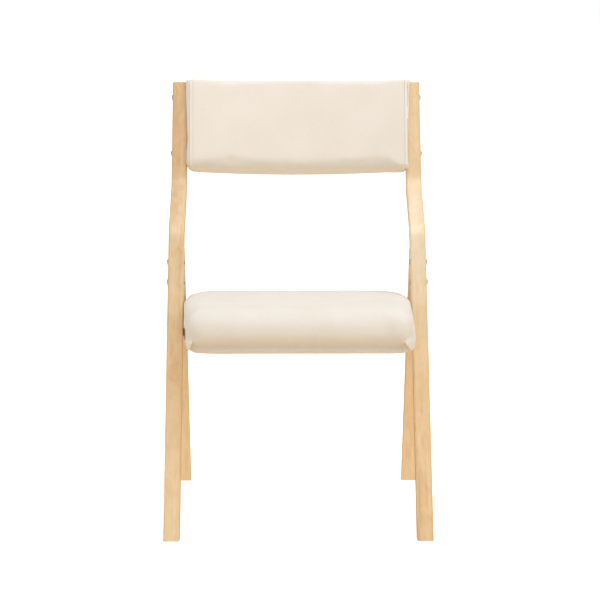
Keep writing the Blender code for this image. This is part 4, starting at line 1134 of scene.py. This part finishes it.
# %% Backrest block
BACK_HEIGHT, BACK_BOLT_TOP, BACK_BOW = 0.177, 0.0287, 0.018
BACK_HALF = BACK_HEIGHT / 2
BACK_FRONT, BACK_REAR = -0.0275, 0.0104
BACK_HALF_TOP, BACK_HALF_BOTTOM = 0.2138, 0.2092
BACK_SWELL, BACK_VOXEL = 0.0045, 0.004
BACK_CORNER, BACK_RIM = 0.005, 0.009
BACK_LOWER_CORNERS = {"left": 0.010, "right": 0.002}
END_FROM = 0.2
POST_CLEAR, OVERLAP = 0.0007, 0.004
INNER_FACE = POST_X - TIMBER_WIDTH / 2
BETWEEN_POSTS = INNER_FACE - POST_CLEAR
BEFORE_POSTS = -TIMBER_THICKNESS / 2 - POST_CLEAR
UPPER_BOLT = sum(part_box("backrest_bolt_right_upper"), Vector()) / 2
BACK_CENTRE = UPPER_BOLT * Vector((0, 1, 1)) + along_strip(BACK_LEAN) * (BACK_BOLT_TOP - BACK_HALF)
BACK_MATRIX = Matrix.Translation(BACK_CENTRE) @ Matrix.Rotation(-BACK_LEAN, 4, "X")


def round_lower_corners(piece, half):
    """Round the two lower corners of a slab as the front view shows them."""
    edit(piece)
    for name, side in SIDES.items():
        bevel_edges(piece, lambda edge: edge_reach(edge, 1) > CLOSE and edge_middle(edge).x * side > END_FROM
                    and edge_middle(edge).z < CLOSE - half, BACK_LOWER_CORNERS[name], segments=5)
    close_edit()


def model_back_block():
    """Flat slab in front of the posts with a thicker middle that fits between them and over the board."""
    front = BACK_FRONT + BACK_SWELL
    piece = start_piece("back_cushion", "cube", (2 * BACK_HALF_TOP, BEFORE_POSTS - front, BACK_HEIGHT),
                        (0, (front + BEFORE_POSTS) / 2, 0), size=1)
    edit(piece)
    bevel_edges(piece, lambda edge: edge_reach(edge, 1) > CLOSE and edge_ends(edge, 2)[0] > BACK_HALF - CLOSE,
                BACK_CORNER, segments=5)
    close_edit()
    round_lower_corners(piece, BACK_HALF)
    edit(piece)
    bevel_edges(piece, lambda edge: edge_ends(edge, 1)[1] < front + CLOSE, BACK_RIM, segments=5)
    close_edit()
    depth = BACK_REAR - BEFORE_POSTS + OVERLAP
    middle = start_piece("back_middle", "cube", (2 * BETWEEN_POSTS, depth, BACK_HEIGHT),
                         (0, (BACK_REAR + BEFORE_POSTS - OVERLAP) / 2, 0), size=1)
    round_lower_corners(middle, BACK_HALF)
    apply_modifier(piece, "BOOLEAN", operation="UNION", object=middle, solver="EXACT")
    bpy.data.objects.remove(middle, do_unlink=True)
    return piece


back = model_back_block()
print("back centre", [round(value, 4) for value in BACK_CENTRE], "faces", len(back.data.polygons))

# %% [markdown]
# The block is remeshed, bent to the bow of the board and swelled. Its edges are then made crisper, its
# ends tapered towards the bottom and its top arched, all against the photograph. Points in line with the
# posts are kept clear of their front faces. The pad stays upright until its seams are sewn.

# %% Backrest pad
BOW_RADIUS = (INNER_FACE ** 2 + BACK_BOW ** 2) / (2 * BACK_BOW)
BACK_HELD = -0.008
TOP_CRISPNESS, RIGHT_CRISPNESS, RIGHT_CORNER = 1.4, 0.8, (0.165, 0.200)
FRONT_PART, ENDS_FROM, BACK_OFFSET = (0.008, 0.013), 0.1, 0.0034
BACK_TOP_RAISE, BACK_TOP_ARCH, ARCH_FROM = 0.0026, 0.0060, 0.03
POST_REACH, ROUNDING_ERROR = 0.006, 1e-6
GUSSET_PART = (0.205, 0.2065)
BACK_WEAVE = -3.0


def bow(across):
    return np.sqrt(BOW_RADIUS ** 2 - across ** 2) - BOW_RADIUS + BACK_BOW


def shape_back(points):
    """Crisp edges, ends that taper downwards and an arched top."""
    x, y, z = points.T
    z = fit_range(z, -BACK_HALF, BACK_HALF)
    crispness = np.where(z > 0, TOP_CRISPNESS, 1 + RIGHT_CRISPNESS * smooth_step(x, *RIGHT_CORNER))
    z = np.sign(z) * (1 - np.clip(1 - np.abs(z) / BACK_HALF, 0, 1) ** crispness) * BACK_HALF
    half = BACK_HALF_BOTTOM + (BACK_HALF_TOP - BACK_HALF_BOTTOM) * (0.5 + z / BACK_HEIGHT)
    in_front = smooth_step(bow(x) - y, *FRONT_PART)
    wider = (half / np.abs(x).max() - 1) * in_front
    x = x + x * wider * smooth_step(np.abs(x), ENDS_FROM, INNER_FACE) + BACK_OFFSET * in_front
    arch = np.maximum(0, 1 - (x / INNER_FACE) ** 2)
    z = z + (BACK_TOP_RAISE + BACK_TOP_ARCH * arch) * smooth_step(z, ARCH_FROM, BACK_HALF)
    return np.stack([x, y, z], axis=1)


def clear_posts(points):
    """Keep a pad's points in front of the posts or between them."""
    x, y, z = points.T
    beside = (np.abs(x) > BETWEEN_POSTS) & (y < BEFORE_POSTS + POST_REACH)
    y = np.where(beside, np.minimum(y, BEFORE_POSTS), y)
    inner = np.sign(x) * np.minimum(np.abs(x), BETWEEN_POSTS)
    return np.stack([np.where(y > BEFORE_POSTS + ROUNDING_ERROR, inner, x), y, z], axis=1)


def write_back_cloth(piece, tone):
    """Keep the weave and the tone, painted light and shade included, of a piece of the backrest's cover,
    while it is upright.
    """
    points = points_of(piece)
    tones = np.broadcast_to(tone, len(points))
    write_attribute(piece, "cloth", np.stack([points[:, 0], points[:, 2] + BACK_WEAVE, tones], axis=1))


def bend_back(piece):
    """Bend a flat piece to the bow of the board."""
    points = points_of(piece)
    points[:, 1] += bow(points[:, 0])
    write_points(piece, points)


def held_back(points):
    return points[:, 1] - bow(points[:, 0]) > BACK_HELD


even_squares(back, BACK_VOXEL)
bend_back(back)
print("back swelled by", round(swell(back, held_back, BACK_SWELL), 4))
refine(back, 12)
write_points(back, clear_posts(shape_back(points_of(back))))
# The end strips beyond the seams are paler: partly paler cloth and partly painted light.
write_back_cloth(back, smooth_step(np.abs(points_of(back)[:, 0] - BACK_OFFSET), *GUSSET_PART))
print(back.name, len(back.data.polygons), "faces")

# %% [markdown]
# The ends of the backrest cover are strips of their own, joined to the front panel by a flat-felled seam:
# the two edges are folded into each other and sewn twice, which leaves a raised band about 6 mm wide. A
# narrow grid is laid over the pad by projection and given the thickness of folded cloth, and two rows of
# stitches are copied along it. All of it is made on the upright pad and leaned back with it.

# %% Felled seams
FELLS = {"left": (-0.2024, -0.1962), "right": (0.2056, 0.2114)}
FELL_REACH, FELL_CLOTH, FELL_FOLLOWS = 0.0850, 0.0012, 0.0022
# Tone of the band's middle, paler cloth with painted light, and of its rims, painted shade.
FELL_PALE_AND_LIT, FELL_SHADE, FELL_MIDDLE = 0.75, -0.9, 0.42
STITCH_PITCH, STITCH_LENGTH, STITCH_WIDTH = 0.0042, 0.0032, 0.0009
STITCH_INSET, STITCH_LOW, STITCH_TONE = 0.0010, -0.077, 1.0
IN_FRONT, MISSED = -0.06, 0.001


def taper_shift(across, level):
    """How far a line near an end of the pad leans inwards towards the bottom."""
    return -math.copysign(FELL_FOLLOWS, across) * (0.5 - level / BACK_HEIGHT)


def surface_of(piece):
    """A piece's surface, to find points on it."""
    return BVHTree.FromPolygons([vert.co for vert in piece.data.vertices],
                                [face.vertices for face in piece.data.polygons])


def make_fell(name, first, last):
    """Band of folded cloth laid on the pad."""
    piece = start_piece(f"felled_seam_{name}", "grid", (last - first, 2 * FELL_REACH, 1),
                        ((first + last) / 2, IN_FRONT, 0), (math.pi / 2, 0, 0),
                        x_subdivisions=6, y_subdivisions=90, size=1)
    points = points_of(piece)
    points[:, 0] += taper_shift(first, points[:, 2])
    write_points(piece, points)
    apply_modifier(piece, "SHRINKWRAP", target=back, wrap_method="PROJECT", use_project_y=True,
                   use_positive_direction=True, use_negative_direction=False)
    points = points_of(piece)
    pad = surface_of(back)
    for index in np.flatnonzero(points[:, 1] < IN_FRONT + MISSED):
        points[index] = pad.find_nearest(Vector((points[index, 0], BACK_FRONT / 2, points[index, 2])))[0]
    write_points(piece, points)
    apply_modifier(piece, "SMOOTH", factor=0.5, iterations=6, use_x=False, use_z=False)
    apply_modifier(piece, "SOLIDIFY", thickness=2 * FELL_CLOTH, offset=0, use_even_offset=True)
    points = points_of(piece)
    share = (points[:, 0] - taper_shift(first, points[:, 2]) - first) / (last - first)
    # The band's middle is paler cloth with painted light on it, and its two rims are painted shade, where the
    # folds dip into the seam.
    write_back_cloth(piece, np.where(np.abs(share - 0.5) > FELL_MIDDLE, FELL_SHADE, FELL_PALE_AND_LIT))
    shade(piece, 50)
    return piece


def sew(name, band, first, last):
    """Two rows of stitches along a band."""
    tree = surface_of(band)
    stitch = start_piece("stitch", "uv_sphere", (STITCH_WIDTH, STITCH_WIDTH, STITCH_LENGTH),
                         segments=8, ring_count=5, radius=0.5)
    sewn = []
    for across in (first + STITCH_INSET, last - STITCH_INSET):
        for level in np.arange(STITCH_LOW, FELL_REACH - STITCH_PITCH, STITCH_PITCH):
            place = Vector((across + taper_shift(across, level), IN_FRONT, level))
            hit, normal, _, _ = tree.ray_cast(place, Vector((0, 1, 0)))
            copy = stitch.copy()
            copy.data = stitch.data.copy()
            scene.collection.objects.link(copy)
            copy.matrix_world = Matrix.Translation(hit) @ normal.to_track_quat("-Y", "Z").to_matrix().to_4x4()
            sewn.append(copy)
    bpy.data.objects.remove(stitch, do_unlink=True)
    only(*sewn)
    bpy.ops.object.join()
    piece = bpy.context.object
    piece.name = piece.data.name = f"seam_stitches_{name}"
    bpy.ops.object.transform_apply(location=True, rotation=True, scale=True)
    bpy.ops.object.shade_smooth()
    write_back_cloth(piece, STITCH_TONE)
    return piece


for name, (first, last) in FELLS.items():
    band = make_fell(name, first, last)
    stitches = sew(name, band, first, last)
    for piece in (band, stitches):
        move_mesh(piece, BACK_MATRIX)
        dress(piece, fabric, "frame", "cover")
    print(band.name, len(band.data.polygons), stitches.name, len(stitches.data.polygons))

move_mesh(back, BACK_MATRIX)
shade(back, 60)
dress(back, fabric, "frame", "cover", "backrest_cover", "backrest_foam")

# %% [markdown]
# The boards are birch plywood with a pale face and long grain. The seat's board shows underneath and keeps
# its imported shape. The backrest's panel is wholly inside its cover, whose lower corners are round, so it
# is modelled again with the same corners: a slab, cut across at even steps and bowed.

# %% Boards
PLYWOOD = ((0.35, (0.62, 0.46, 0.29, 1)), (0.65, (0.76, 0.60, 0.41, 1)))
PLYWOOD_GRAIN, PLYWOOD_FIGURE = (420.0, 9.0, 4.0), (40.0, 4.0, 2.0, 0.8)
PLYWOOD_ROUGHNESS, PLYWOOD_BUMP = 0.6, 0.1
PANEL_THICKNESS, PANEL_INSIDE, PANEL_SHORT = 0.015, 0.0025, 0.0006
PANEL_CUTS, PANEL_ROUNDING = 24, 0.002


def make_plywood():
    made, tree, bsdf = new_finish("sanded_plywood", PLYWOOD_ROUGHNESS)
    across, depth, along = add_node(tree, "SeparateXYZ", add_node(tree, "TexCoord").outputs["Object"]).outputs
    grain, figure = (streaks(tree, depth, along, across, *form) for form in (PLYWOOD_GRAIN, PLYWOOD_FIGURE))
    mix = math_node(tree, "MULTIPLY", math_node(tree, "ADD", grain, figure), 0.5)
    tree.links.new(ramp_node(tree, mix, PLYWOOD), bsdf.inputs["Base Color"])
    raise_surface(tree, bsdf, grain, PLYWOOD_BUMP, BUMP_DEPTH)
    return made


def make_panel():
    """Bowed backrest panel with rounded lower corners, inside the cover."""
    half = BACK_HALF - PANEL_INSIDE
    size = (2 * (INNER_FACE - PANEL_SHORT), PANEL_THICKNESS, 2 * half)
    piece = start_piece("bowed_panel", "cube", size, size=1)
    round_lower_corners(piece, half)
    edit(piece)
    for place in np.linspace(-INNER_FACE, INNER_FACE, PANEL_CUTS + 2)[1:-1]:
        saw((place, 0, 0), (1, 0, 0))
    close_edit()
    bend_back(piece)
    soften_edges(piece, PANEL_ROUNDING, segments=2)
    move_mesh(piece, BACK_MATRIX)
    return piece


plywood = make_plywood()
frame["nodes"]["seat_board"].data.materials.clear()
frame["nodes"]["seat_board"].data.materials.append(plywood)
panel = dress(make_panel(), plywood, "frame", "plywood", "backrest_board")
print(panel.name, len(panel.data.polygons), "faces")
